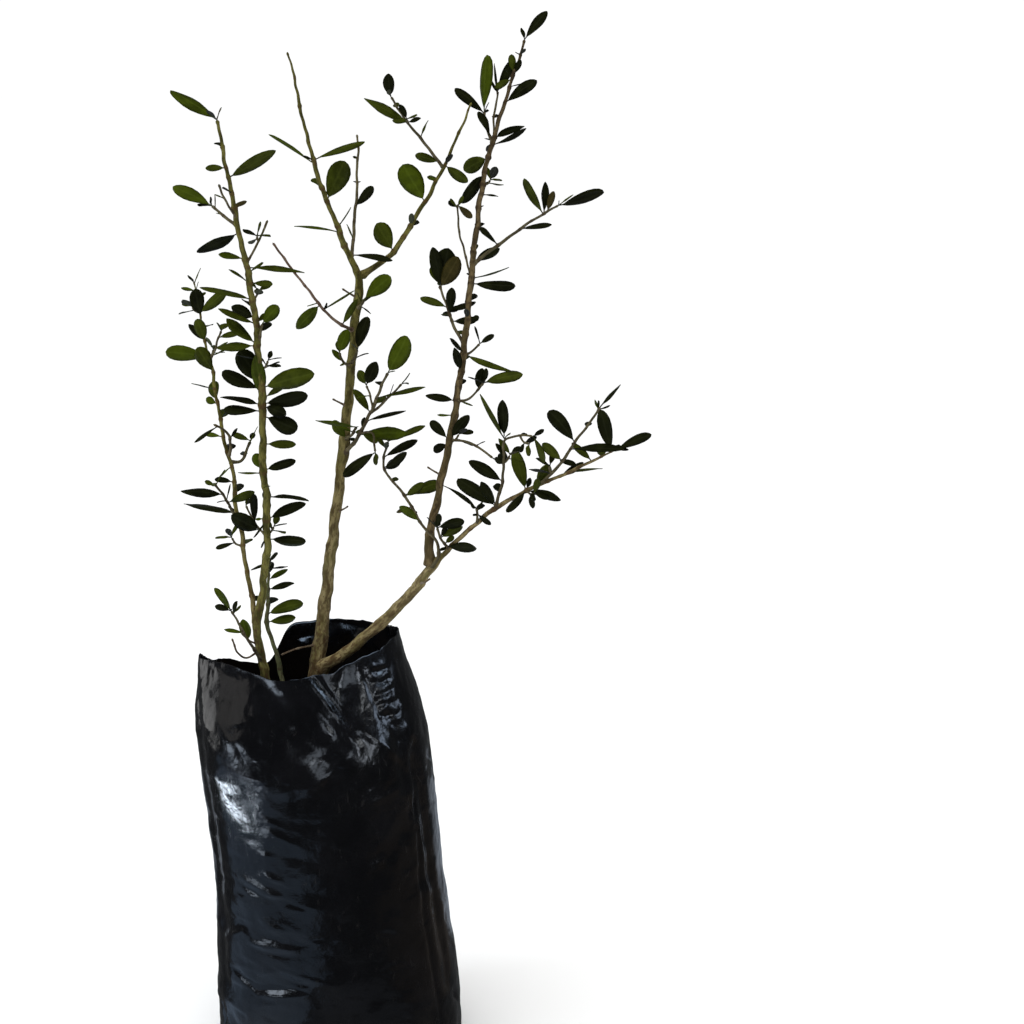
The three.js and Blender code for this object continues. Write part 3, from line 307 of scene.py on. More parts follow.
# Masses of foliage: what each twig grows from, the height it leaves it, its bends and its end,
# both radii and the habit. A habit has one word for each leaf: how far up the stem it grows in
# hundredths, the hour of a clock face that it points to, seen from the front, or f or b for a leaf
# straight to the front or the back, and its length in mm as it is seen. Marks: + broad side to the
# front, n narrow and edge-on, w a wide blade, f leaning forward.
MASSES = {
    "left_foot_spray": [
        ("left_stem", 290, [(-60, -26, 314), (-67, -40, 336)], 0.9, 0.45,
         "45/11.5/16+w 60/b/14 95/1.4/8 100/9.7/12+ 100/11/19"),
    ],
    "left_stem_lower_foliage": [
        ("left_stem", 377, [(-43, -28, 411), (-44, -36, 444)], 2.5, 2.3,
         "8/3/27 14/6.8/11n 29/7.3/15n 30/2.1/29 31/9/8 45/b/18 55/3/29n 66/f/14 81/9.1/18n 82/11.3/14+wf "
         "84/2.4/23"),
        ("own", 383, [(-55, -8, 394), (-60, 0, 402)], 0.6, 0.35, "30/9.8/21+w 50/12/20 100/b/14"),
    ],
    "left_stem_middle_foliage": [
        ("left_stem_lower_foliage", 444, [(-42, -44, 478), (-43, -54, 519)], 2.3, 2.0,
         "11/3/22 38/3.7/25+w 42/9.2/27 47/3.5/17+w 48/9.5/29n 49/2.7/31+ 54/2/20 54/11.9/27+f 62/9.8/30 "
         "64/2.4/36+ 68/10.9/27+w 80/b/20 90/f/15"),
    ],
    "left_stem_upper_foliage": [
        ("left_stem_middle_foliage", 519, [(-44, -61, 547), (-48, -69, 578), (-51, -75, 599)], 2.0, 1.4,
         "3/9/26 4/10.3/27 14/b/20 21/9.8/26n 26/10/21+ 34/b/22 42/9.6/37n 56/10.2/16n 56/3/15 64/b/18 "
         "69/3/37n 76/9.5/17 98/8.2/31"),
        ("own", 523, [(-39, -62, 537)], 0.8, 0.4, "100/1.4/16+w"),
        ("own", 576, [(-41, -60, 589), (-35, -50, 604)], 0.5, 0.3, "55/1/8n"),
    ],
    "left_stem_top_foliage": [
        ("left_stem_upper_foliage", 599, [(-54, -80, 620), (-58, -89, 652), (-61, -94, 670)], 1.4, 0.6,
         "20/b/18 34/f/13 48/2/35 57/9/13+ 75/b/14 100/10.2/35"),
        ("own", 602, [(-61, -68, 608), (-70, -60, 614)], 0.8, 0.4, "50/b/15 85/12/9n 100/10/29"),
        ("own", 607, [(-57, -87, 618), (-61, -96, 630)], 0.45, 0.3, "60/10/7n"),
    ],
    "left_side_lower_foliage": [
        ("left_side_stem", 359, [(-66, 15, 377), (-71, 24, 400), (-73, 32, 420)], 1.6, 1.4,
         "18/b/20 35/f/13 54/9.4/40n 75/b/20 88/9.5/14"),
        ("own", 385, [(-71, 6, 397), (-75, -6, 411), (-81, -12, 420)], 0.8, 0.4,
         "55/2.3/20+ 60/12.5/12n 74/9.3/29 95/1/13n 100/f/12"),
    ],
    "left_side_middle_foliage": [
        ("left_side_lower_foliage", 420, [(-81, 42, 445), (-89, 58, 485)], 1.4, 1.1,
         "5/8/13n 20/b/20 36/9.5/13 55/b/22 70/9.8/10+w 73/11.3/17+w 86/b/18"),
        ("own", 426, [(-67, 38, 427), (-62, 44, 440)], 0.9, 0.5, "50/b/16 85/0.7/15n 100/9.8/14+"),
        ("own", 430, [(-74, 34, 438), (-76, 26, 449), (-85, 20, 456)], 0.8, 0.35, "45/1/9 90/8/21n"),
    ],
    "left_side_top_foliage": [
        ("left_side_middle_foliage", 485, [(-97, 70, 515), (-104, 82, 550)], 1.1, 0.5,
         "3/11/20+w 20/9.3/30+ 36/11.5/17+w 37/10.7/18+ 50/b/18 63/11.6/20+w 67/1.8/24+ 82/b/16 90/9.5/11 "
         "98/0.8/12n"),
        ("own", 495, [(-85, 52, 507), (-81, 46, 519)], 0.6, 0.35, "20/2.3/20n 80/2.3/15 100/b/14"),
    ],
    "green_shoot_foliage": [
        ("left_green_shoot", 309, [(-51, 34, 325), (-50, 42, 351)], 1.2, 0.5,
         "3/2.7/21 16/2.2/27 30/b/20 42/9/13 56/2.5/19 72/2/16+ 80/b/18 90/3/14 98/1/9 98/8.5/14n 100/b/15"),
    ],
    "trunk_knot_spur": [
        ("trunk", 447, [(15, -2, 453), (19, -9, 459)], 0.8, 0.5,
         "15/10.6/13+w 70/10/12 100/9.2/28 100/f/12"),
    ],
    "trunk_side_spray": [
        ("trunk", 436, [(20, -8, 453), (30, -20, 474), (42, -38, 501)], 1.1, 0.5,
         "32/2.8/33 35/3.9/14+ 38/12.3/9+ 47/2.2/28n 56/10.9/20 65/b/20 72/2.6/34n 85/b/16 100/1/27+w"),
        ("own", 470, [(40, -22, 480), (51, -28, 492)], 0.6, 0.35, "60/0.5/8n 100/1.3/9n"),
        ("own", 473, [(29, -24, 483), (27, -28, 491)], 0.5, 0.35, "55/9/9n 100/0.8/17+w 100/11/12+w"),
        ("own", 455, [(30, -18, 456), (32, -24, 444)], 0.5, 0.35, "100/8/27"),
    ],
    "trunk_left_spur": [
        ("trunk", 499, [(10, 3, 502), (7, -4, 510)], 0.7, 0.4, "50/10.6/12+ 100/0.6/17+w 100/11.5/9"),
    ],
    "trunk_right_spur": [
        ("trunk", 500, [(17, 2, 506), (19, -3, 512)], 0.7, 0.4, "50/b/14 100/0.4/24+"),
    ],
    "trunk_fork_spur": [
        ("trunk", 538, [(22, 6, 542), (23, 1, 546)], 0.7, 0.4, "40/4/9n 70/b/12 100/1.6/24+w"),
    ],
    "bare_left_twig": [
        ("trunk", 523, [(4, -14, 534), (-10, -36, 556), (-31, -60, 590)], 0.9, 0.35,
         "17/1/21 40/2/24n 45/7.6/24+ 47/8.5/8n"),
    ],
    "upper_left_foliage": [
        ("upper_left_limb", 584, [(1, -4, 612), (-8, -16, 643), (-20, -44, 712)], 1.6, 0.35,
         "6/9.5/31n 9/1.2/16n 23/0.8/29+w 30/b/16 43/10.1/37n 45/2/36n"),
    ],
    "upper_middle_foliage": [
        ("upper_left_limb", 573, [(16, 24, 590), (17, 52, 626), (16, 74, 655)], 0.9, 0.4,
         "3/3/28n 15/11.5/12n 42/1.5/18+ 60/b/16 80/b/12"),
    ],
    "upper_right_foliage": [
        ("upper_right_limb", 575, [(63, 50, 607), (77, 64, 632), (97, 92, 677)], 1.6, 0.35,
         "1/10.9/24+w 18/b/18 35/11/32+w 48/b/18 59/4.3/20+"),
        ("own", 632, [(62, 58, 652), (52, 50, 664), (42, 42, 682)], 0.8, 0.4,
         "8/9.6/17+ 42/0.6/13 65/10/35 85/b/14 100/11.7/15+w"),
    ],
    "bough_foot_cluster": [
        ("right_spreading_bough", 379, [(78, -44, 387), (75, -50, 397)], 0.8, 0.4,
         "15/3/20+ 30/1.5/8+w 60/2/17+ 100/2.5/19+ 100/10.5/10n 100/b/14"),
    ],
    "back_branch_foliage": [
        ("right_bough", 362, [(75, -38, 374), (73, -36, 386), (66, -33, 392), (51, 0, 408), (35, 16, 425),
          (39, 14, 445)], 0.9, 0.45,
         "38/10.4/17+ 44/b/18 52/8.5/12 62/1.9/16+ 63/2.3/27 74/b/16 83/1.8/13+w 84/2/19 90/1.9/27 "
         "95/11/10 100/2.1/28n"),
    ],
    "upright_lower_foliage": [
        ("right_upright_stem", 442, [(86, 6, 468), (92, 24, 508)], 2.3, 2.0,
         "8/8/13+w 10/10.5/19+ 11/1.2/21+ 35/9/12n 49/9.5/22 50/3.5/12n 62/b/20 78/11.5/16+f 88/b/16 "
         "95/3.6/36n 97/10.6/12"),
        ("own", 449, [(97, -14, 449), (113, -24, 440)], 0.6, 0.35, "60/2/7n 100/4/8n"),
        ("own", 474, [(97, -2, 478), (106, -10, 490)], 0.6, 0.35, "78/0.4/15+w 100/2.4/27 100/b/12"),
        ("own", 504, [(97, 30, 506), (103, 36, 511)], 0.6, 0.35, "100/1.8/12+ 100/11.5/13n"),
    ],
    "upright_middle_foliage": [
        ("upright_lower_foliage", 508, [(96, 42, 548), (99, 54, 579)], 2.0, 1.7,
         "14/b/18 28/2.5/8+w 45/b/20 63/3.1/31 68/2.6/28n 83/1.9/23+ 92/b/18"),
        ("own", 512, [(84, 42, 523), (79, 54, 536), (74, 64, 549)], 0.9, 0.45,
         "45/3/18+ 52/b/14 55/0.1/19+ 56/9/6n 58/1.8/9+w 62/2.3/20 66/9.9/21 97/1.2/24+w 98/11.8/29+ "
         "100/0.5/30+w 100/11.5/18+w"),
        ("own", 554, [(92, 50, 575), (88, 44, 593), (87, 40, 608)], 0.5, 0.3, "96/10.3/8+w 100/4.4/14+"),
    ],
    "right_side_branch": [
        ("upright_middle_foliage", 565, [(114, 48, 578), (130, 40, 590), (145, 30, 601), (157, 16, 609),
          ], 1.0, 0.4,
         "27/10.6/18 53/2.6/22n 79/10.9/27 80/0.1/22 85/0.6/14+ 100/1.7/12n 100/2.6/34"),
    ],
    "upright_upper_foliage": [
        ("upright_middle_foliage", 579, [(105, 72, 623), (111, 80, 647)], 1.7, 1.3,
         "15/b/20 36/b/18 50/3/12n 60/b/20 72/7.3/27+ 88/8.2/20+w"),
    ],
    "upright_top_foliage": [
        ("upright_upper_foliage", 647, [(121, 90, 679), (135, 100, 721)], 1.3, 0.5,
         "0/2.2/28n 7/2/24 40/1.7/28 55/b/16 63/8.2/14+ 66/0.9/12+ 68/11.8/15+ 85/b/12 100/1.2/26"),
        ("own", 649, [(107, 92, 659), (106, 100, 670)], 0.8, 0.4,
         "20/11.4/21 70/b/15 95/10.6/27 100/11.9/42"),
        ("own", 651, [(113, 98, 668), (115, 104, 685)], 0.5, 0.35,
         "50/b/12 95/11.2/10 97/11.6/24n 100/0.8/25"),
    ],
    "spreading_foot_foliage": [
        ("right_spreading_bough", 400, [(102, -57, 408), (102, -63, 413)], 0.7, 0.35,
         "60/4.5/12+ 80/b/14 100/10.4/27n"),
    ],
    "spreading_inner_foliage": [
        ("right_spreading_bough", 412, [(120, -66, 440), (120, -80, 465)], 0.8, 0.4,
         "2/10.3/34 3/10.8/19+ 20/b/16 35/10.2/26 60/b/18 97/10.9/33n 100/11.9/24+"),
        ("own", 463, [(131, -88, 467), (139, -92, 467)], 0.45, 0.3, "60/b/8 100/5/19"),
    ],
    "spreading_middle_foliage": [
        ("right_spreading_bough", 425, [(157, -74, 437), (178, -84, 449)], 1.3, 1.0,
         "1/11.4/30 2/3.4/24 3/7.6/20 17/1.1/17+w 35/b/18 52/2/18 63/2.5/24n 80/b/18 100/10.7/18"),
    ],
    "spreading_upper_foliage": [
        ("spreading_middle_foliage", 431, [(159, -80, 449), (169, -90, 466), (183, -100, 488)], 0.8, 0.4,
         "15/b/16 32/10.4/18+ 48/2.9/33n 57/10.9/27+ 75/b/14 96/11.3/7 100/1.3/19n"),
    ],
    "spreading_tip_foliage": [
        ("spreading_middle_foliage", 449, [(186, -90, 454), (193, -96, 459)], 1.0, 0.4,
         "40/b/16 80/11.5/29+ 100/2.1/24 100/b/10"),
    ],
}

# Young leaves of a bright green, by the words of each mass's habits
YOUNG_LEAVES = {
    "left_foot_spray": "45/11.5/16+w 100/11/19",
    "left_stem_lower_foliage": "82/11.3/14+wf 31/9/8",
    "left_stem_middle_foliage": "54/11.9/27+f",
    "left_stem_upper_foliage": "76/9.5/17 100/1.4/16+w",
    "left_stem_top_foliage": "100/10.2/35 100/10/29",
    "left_side_middle_foliage": "70/9.8/10+w",
    "left_side_top_foliage": "20/9.3/30+ 90/9.5/11",
    "green_shoot_foliage": "72/2/16+",
    "trunk_knot_spur": "15/10.6/13+w 100/9.2/28 70/10/12",
    "trunk_side_spray": "100/1/27+w 32/2.8/33",
    "trunk_left_spur": "100/0.6/17+w 50/10.6/12+",
    "trunk_fork_spur": "100/1.6/24+w",
    "bare_left_twig": "45/7.6/24+ 47/8.5/8n",
    "upper_left_foliage": "43/10.1/37n",
    "upper_right_foliage": "35/11/32+w",
    "back_branch_foliage": "38/10.4/17+",
    "upright_top_foliage": "100/11.9/42",
    "spreading_upper_foliage": "96/11.3/7",
}

# Shares of dark, middle, bright and olive-brown among the other leaves of each mass; masses that
# aren't named take the first row. The dark tint is painted shade: a shaded copy of the leaf colours,
# dealt out more to the masses that lie in shade
LEAF_TINTS = ("dark", "middle", "bright", "olive")
USUAL_TINTS = (0.72, 0.26, 0.01, 0.01)
TINTS_OF_MASSES = {
    "left_foot_spray": (0.50, 0.46, 0.04, 0.00),
    "left_stem_middle_foliage": (0.60, 0.40, 0.00, 0.00),
    "left_stem_upper_foliage": (0.42, 0.54, 0.02, 0.02),
    "left_stem_top_foliage": (0.34, 0.46, 0.04, 0.16),
    "left_side_middle_foliage": (0.35, 0.62, 0.03, 0.00),
    "left_side_top_foliage": (0.20, 0.72, 0.06, 0.02),
    "trunk_knot_spur": (0.20, 0.50, 0.30, 0.00),
    "trunk_side_spray": (0.35, 0.57, 0.05, 0.03),
    "trunk_left_spur": (0.20, 0.50, 0.10, 0.20),
    "trunk_fork_spur": (0.50, 0.50, 0.00, 0.00),
    "bare_left_twig": (0.30, 0.60, 0.10, 0.00),
    "upper_left_foliage": (0.20, 0.75, 0.05, 0.00),
    "upper_middle_foliage": (0.45, 0.53, 0.02, 0.00),
    "upper_right_foliage": (0.30, 0.66, 0.04, 0.00),
    "back_branch_foliage": (0.45, 0.49, 0.04, 0.02),
    "upright_middle_foliage": (0.72, 0.22, 0.00, 0.06),
    "spreading_tip_foliage": (0.60, 0.40, 0.00, 0.00),
}

# Extra dry twiglets low on the stems: parent, height, bends and end, radius
DRY_TWIGLETS = [
    ("trunk", 300, [(-28, -6, 299), (-38, -10, 296)], 0.45),
    ("left_stem", 300, [(-60, -18, 296), (-66, -26, 303), (-69, -30, 314)], 0.4),
    ("left_stem", 303, [(-61, -16, 310), (-65, -22, 320)], 0.35),
    ("right_bough", 352, [(66, -38, 356), (70, -44, 360)], 0.4),
    ("trunk", 395, [(8, 2, 399), (11, -2, 402)], 0.4),
    ("trunk", 470, [(5, 6, 474), (1, 2, 477)], 0.4),
    ("trunk", 545, [(12, 9, 550), (8, 6, 553)], 0.4),
    ("right_upright_stem", 425, [(71, -16, 430), (67, -19, 433)], 0.35),
]


# Small helpers
def mix(a, b, t):
    return a + (b - a) * t


def length(v):
    return math.sqrt(float(np.dot(v, v)))


def unit(v):
    return v / length(v)


def smooth_step(low, high, value):
    t = np.clip((value - low) / (high - low), 0, 1)
    return t * t * (3 - 2 * t)


def plateau(ends, value):
    """Rises from the first end to the second, stays at 1, and falls from the third to the fourth."""
    a, b, c, d = ends
    return smooth_step(a, b, value) * smooth_step(d, c, value)


def chance(a, b, c):
    """A repeatable number from 0 to 1 for three whole numbers; the last tells the draws apart."""
    s = math.sin(a * 127.1 + b * 311.7 + c * 74.7) * 43758.5453
    return s - math.floor(s)


def spread(width, a, b, c):
    return width * (chance(a, b, c) - 0.5)


def turned(v, axis, degrees):
    c = math.cos(math.radians(degrees))
    s = math.sin(math.radians(degrees))
    return v * c + np.cross(axis, v) * s + axis * (np.dot(axis, v) * (1 - c))


def across(v, n):
    """The part of v that is square to the unit vector n."""
    return v - n * np.dot(v, n)


def hashed(ix, iy, seed):
    s = np.sin(ix * 12.9898 + iy * 78.233 + seed * 37.719) * 43758.5453
    return s - np.floor(s)


def smooth_noise(x, y, seed, turn=0):
    """Smooth noise from -1 to 1; with turn it repeats after that many steps of x."""
    fx, fy = np.floor(x), np.floor(y)
    tx, ty = x - fx, y - fy
    tx = tx * tx * (3 - 2 * tx)
    ty = ty * ty * (3 - 2 * ty)
    x0, x1 = fx, fx + 1
    if turn:
        x0, x1 = np.mod(x0, turn), np.mod(x1, turn)
    low = mix(hashed(x0, fy, seed), hashed(x1, fy, seed), tx)
    high = mix(hashed(x0, fy + 1, seed), hashed(x1, fy + 1, seed), tx)
    return 2 * mix(low, high, ty) - 1


# Growth by the source's rule
def smooth_route(points):
    p = [np.array(q, float) for q in points]
    ends = [2 * p[0] - p[1], *p, 2 * p[-1] - p[-2]]
    route = []
    for i in range(len(p) - 1):
        p0, p1, p2, p3 = ends[i:i + 4]
        for k in range(ROUTE_SAMPLES):
            t = k / ROUTE_SAMPLES
            a = 2 * p1
            b = (p2 - p0) * t
            c = (2 * p0 - 5 * p1 + 4 * p2 - p3) * t * t
            d = (3 * p1 - p0 - 3 * p2 + p3) * t * t * t
            route.append(0.5 * (a + b + c + d))
    route.append(p[-1])
    return np.array(route)


class Shoot:
    """A limb or a twig: its route, its radii and what it bears."""

    def __init__(self, name, points, radii, habit="", flare=None, knots=()):
        self.name = name
        self.route = smooth_route(points)
        steps = np.linalg.norm(np.diff(self.route, axis=0), axis=1)
        self.lengths = np.concatenate([[0], np.cumsum(steps)])
        self.total = self.lengths[-1]
        self.radii = radii
        self.habit = habit
        self.flare = flare
        self.knots = knots
        self.foot = 0
        self.middle = 0.5 * (self.route[0] + self.route[-1])
        self.reach = np.max(np.linalg.norm(self.route - self.middle, axis=1)) + radii[0] + REACH_MARGIN

    def place(self, fraction):
        wanted = fraction * self.total
        i = 1
        while i < len(self.route) - 1 and self.lengths[i] < wanted:
            i += 1
        a, b = self.route[i - 1], self.route[i]
        t = (wanted - self.lengths[i - 1]) / (self.lengths[i] - self.lengths[i - 1])
        return a + (b - a) * t, unit(b - a)

    def at_height(self, height):
        for a, b in zip(self.route, self.route[1:]):
            if a[2] <= height <= b[2]:
                return a + (b - a) * ((height - a[2]) / (b[2] - a[2]))
        return self.route[-1]

    def sampled(self, count):
        """Evenly spaced points with their radii."""
        fractions = np.linspace(0, 1, count)
        wanted = fractions * self.total
        points = np.stack([np.interp(wanted, self.lengths, self.route[:, i]) for i in range(3)], axis=1)
        return points, self.radius(fractions, points[:, 2])

    def thickness_at(self, height):
        fraction = np.argmin(np.abs(self.route[:, 2] - height)) / (len(self.route) - 1)
        return float(self.radius(fraction, height))

    def radius(self, fraction, height):
        radius = mix(self.radii[0], self.radii[1], fraction)
        if self.flare:
            radius = radius + self.flare[0] * np.exp(-fraction * self.total / self.flare[1])
        for knot_height, amount, reach in self.knots:
            radius = radius + amount * np.exp(-(((height - knot_height) / reach) ** 2))
        return radius

    def gap_to(self, points):
        """The least distance from the shoot's skin to the nearest of the points."""
        a, b = self.route[:-1], self.route[1:]
        ab = b - a
        rel = points[:, None, :] - a[None]
        t = np.clip(np.sum(rel * ab, axis=2) / np.sum(ab * ab, axis=1), 0, 1)
        f = (self.lengths[:-1] + np.diff(self.lengths) * t) / self.total
        away = np.linalg.norm(rel - ab[None] * t[:, :, None], axis=2)
        return np.min(away - self.radius(f, points[:, 2][:, None]))


def grow_limbs():
    limbs = {}
    for name, plan in LIMBS.items():
        if "from" in plan:
            start = plan["from"]
        else:
            parent, height = plan["on"]
            start = limbs[parent].at_height(height)
        limbs[name] = Shoot(
            name, [start, *plan["bends"]], plan["radii"],
            flare=plan.get("flare"), knots=plan.get("knots", ()),
        )
        if "on" in plan:
            limbs[name].foot = limbs[parent].thickness_at(height)
    return limbs


def grow_twigs(limbs):
    masses = {}
    for name, rows in MASSES.items():
        masses[name] = []
        for parent, height, bends, r0, r1, habit in rows:
            if parent == "own":
                source = masses[name][0]
            elif parent in limbs:
                source = limbs[parent]
            else:
                source = masses[parent][0]
            start = source.at_height(height)
            shoot = Shoot(name, [start, *bends], (r0, r1), habit)
            shoot.foot = source.thickness_at(height)
            masses[name].append(shoot)
    return masses


def read_habit(habit):
    wishes = []
    for word in habit.split(" "):
        place, direction, rest = word.split("/")
        digits = rest.rstrip("+nwf")
        wishes.append({
            "word": word, "place": float(place) / 100, "direction": direction,
            "size": float(digits), "marks": rest[len(digits):],
        })
    return wishes


def leaf_reach(along, wish, seeds, turn):
    """The way a leaf points, as long as the leaf that is seen from the front at its given size."""
    if wish["direction"] in SIDES:
        swing = spread(LEAF_TURN_SPREAD, *seeds, 2) + turn
        forward = LEAF_FORWARD + spread(LEAF_FORWARD_SPREAD, *seeds, 1)
        return unit(turned(np.array(SIDES[wish["direction"]], float), UP, swing) + along * forward)
    angle = math.radians(DEGREES_PER_HOUR * float(wish["direction"]))
    depth = spread(LEAF_DEPTH_SPREAD, *seeds, 1) + turn * LEAF_DEPTH_PER_DEGREE
    if "f" in wish["marks"]:
        depth += LEAF_DEPTH_LEANING
    depth = max(-LEAF_DEPTH_LIMIT, min(LEAF_DEPTH_LIMIT, depth))
    return np.array([math.sin(angle), depth, math.cos(angle) - VIEW_RISE * depth])


def leaf_upper_side(way, wish, seeds):
    if wish["direction"] in SIDES:
        lean = mix(LEAF_LEAN_BACK, LEAF_LEAN_FRONT, chance(*seeds, 3))
        return unit(across(unit(UP + FRONT * lean), way))
    tilt = LEAF_TILT
    if "+" in wish["marks"]:
        tilt = LEAF_TILT_BROAD
    if "n" in wish["marks"]:
        tilt = LEAF_TILT_NARROW
    tilt += spread(LEAF_TILT_SPREAD, *seeds, 3)
    facing = unit(across(FRONT, way))
    upper = turned(facing, way, tilt)
    other = turned(facing, way, -tilt)
    turned_down = chance(*seeds, 7) < LEAF_UPSIDE_DOWN
    return upper if (upper[2] > other[2]) != turned_down else other


def lay_leaf(place, wish, seeds, turn):
    """Where one leaf lies: its root, the way it points, its upper side and its size."""
    reach = leaf_reach(place[1], wish, seeds, turn)
    way = unit(reach)
    share = LEAF_WIDTH_SHARE
    if "w" in wish["marks"]:
        share = LEAF_WIDE_SHARE
    if "n" in wish["marks"]:
        share = LEAF_NARROW_SHARE
    return {
        "root": place[0], "way": way, "upper": leaf_upper_side(way, wish, seeds),
        "size": wish["size"] * length(reach),
        "width": wish["size"] * (share + spread(LEAF_WIDTH_SPREAD, *seeds, 5)),
        "curl": LEAF_CURL * chance(*seeds, 6), "seeds": seeds,
    }


def leaf_point(leaf, share, sideways):
    right = np.cross(leaf["way"], leaf["upper"])
    drop = leaf["curl"] * leaf["size"] * share * share
    return leaf["root"] + leaf["way"] * (share * leaf["size"]) - leaf["upper"] * drop + right * sideways


def leaf_half_width(leaf, share):
    along_blade = max(0, (share - LEAF_STALK_SHARE) / (1 - LEAF_STALK_SHARE))
    outline = math.sin(math.pi * along_blade ** LEAF_BROADEST_POWER)
    return 0.5 * leaf["width"] * max(0, outline) ** LEAF_ROUNDNESS_POWER


def leaf_samples(leaf):
    samples = []
    for share in LEAF_SAMPLE_SHARES:
        half = leaf_half_width(leaf, share)
        for k in (-1, -0.5, 0, 0.5, 1):
            samples.append(leaf_point(leaf, share, k * half))
    return np.array(samples)


def bag_middle(z):
    return BAG_LEAN * (np.maximum(0, z) / BAG_LEAN_HEIGHT) ** BAG_LEAN_POWER


def rim_height(angle):
    turn = np.mod(angle, 360)
    heights = np.full(np.shape(turn), float(RIM_HEIGHTS[0][1]))
    closed = [*RIM_HEIGHTS, (360, RIM_HEIGHTS[0][1])]
    for (a, low), (b, high) in zip(closed, closed[1:]):
        inside = (turn >= a) & (turn <= b)
        heights = np.where(inside, mix(low, high, smooth_step(a, b, turn)), heights)
    return heights


def line_distance(angle, z, line):
    """How far along a line on the film, and how far from it, each place lies."""
    a0, z0, a1, z1 = line
    around = BAG_BODY_HALF_WIDTH * math.radians(1)
    px = (angle - a0) * around
    pz = z - z0
    dx, dz = (a1 - a0) * around, z1 - z0
    t = np.clip((px * dx + pz * dz) / (dx * dx + dz * dz), 0, 1)
    return t, np.hypot(px - dx * t, pz - dz * t)


def crease_depth(angle, z):
    depth = 0
    for a0, z0, a1, z1, amount, reach in CREASES:
        t, away = line_distance(angle, z, (a0, z0, a1, z1))
        depth = depth + amount * np.sin(math.pi * mix(*CREASE_FADE, t)) * np.exp(-((away / reach) ** 2))
    return depth


def bag_plain(angle, z):
    c, s = np.cos(np.radians(angle)), np.sin(np.radians(angle))
    body = mix(BAG_FOOT_HALF_WIDTH, BAG_BODY_HALF_WIDTH, smooth_step(*BODY_TAPER, z))
    wide = mix(body, BAG_RIM_HALF_WIDTH, smooth_step(*MOUTH_TAPER, z))
    left_end = smooth_step(*LEFT_END_SIDE, c) * smooth_step(*LEFT_END_FLATTENING, z)
    rim_deep = BAG_RIM_HALF_DEPTH * mix(1, LEFT_END_DEPTH_SHARE, left_end)
    deep = mix(BAG_HALF_DEPTH, rim_deep, smooth_step(*MOUTH_FLATTENING, z))
    power = 2 / BAG_ROUNDNESS
    pinch = BAG_FOOT_ROUNDING * np.maximum(0, 1 - z / BAG_FOOT_ROUNDING) ** 2
    reach = crease_depth(angle, z) + pinch
    x = bag_middle(z) + np.sign(c) * np.abs(c) ** power * (wide - reach)
    y = np.sign(s) * np.abs(s) ** power * (deep - reach)
    return x, y


def clear_of_bag(points):
    x, y, z = points[:, 0] - bag_middle(points[:, 2]), points[:, 1], points[:, 2]
    angle = np.degrees(np.arctan2(y, x))
    film_x, film_y = bag_plain(angle, z)
    away = np.hypot(x, y) - np.hypot(film_x - bag_middle(z), film_y)
    inside = (away < -FILM_CLEARANCE_INSIDE) & (z > GROUND_CUT + SOIL_CLEARANCE)
    return bool(np.all((z > ABOVE_THE_BAG) | (away > FILM_CLEARANCE_OUTSIDE) | inside))


# Finer growth within the same reach
FINE_LEAF_SIZE = 21
FINE_WIDTH_SHARE = (0.36, 0.5)
FINE_SPUR_CHANCE = 0.07
FINE_SPUR_LENGTH = (5, 10)
FINE_SPUR_RADII = (0.42, 0.28)
FINE_SPUR_WHORLS = ((0.6, 2), (1.0, 3))
FINE_LEAF_SHARE = (0.42, 0.66)
AXIL_LEAF_CHANCE = 0.2
AXIL_LEAF_SHARE = (0.32, 0.5)
FINE_STEM_CLEARANCE = 0.7
FINE_LEAF_CLEARANCE = 1.5
# Samples of a small leaf that lie too near its own stem to be measured
FINE_FOOT_SAMPLES = 10
TIP_LEAF_PLACE = 0.9
TIP_LEAF_RISE = 1.6
FINE_LEAF_LEAN = (-0.4, 1.1)
FINE_LEAF_SKYWARD = 0.4
# An upper side with less than this left square to the blade faces the front instead
FINE_LEAF_LEAST_UPPER = 0.2
# How far a spur's first half runs along its stem, and how its second half turns up
SPUR_RISE = 0.5
SPUR_OUTWARDS = 0.7
SPUR_SKYWARD = 0.3
SPUR_LEAF_RISE = 0.8
FIRST_NODE_SEED = 501


def small_leaf(point, along, side, rise, size, seeds, thickness):
    way = unit(side + along * rise)
    lean = mix(*FINE_LEAF_LEAN, chance(*seeds, 31))
    upper = across(unit(along + FRONT * lean + UP * FINE_LEAF_SKYWARD), way)
    if length(upper) < FINE_LEAF_LEAST_UPPER:
        upper = across(FRONT, way)
    return {
        "root": point, "way": way, "upper": unit(upper), "size": size,
        "width": size * mix(*FINE_WIDTH_SHARE, chance(*seeds, 32)),
        "curl": LEAF_CURL * chance(*seeds, 33), "seeds": seeds, "thickness": thickness, "young": False,
    }


def square_to(along, seeds):
    """A direction square to the stem, at a repeatable turn."""
    base = unit(across(SKEW, along))
    return turned(base, along, 360 * chance(*seeds, 41))


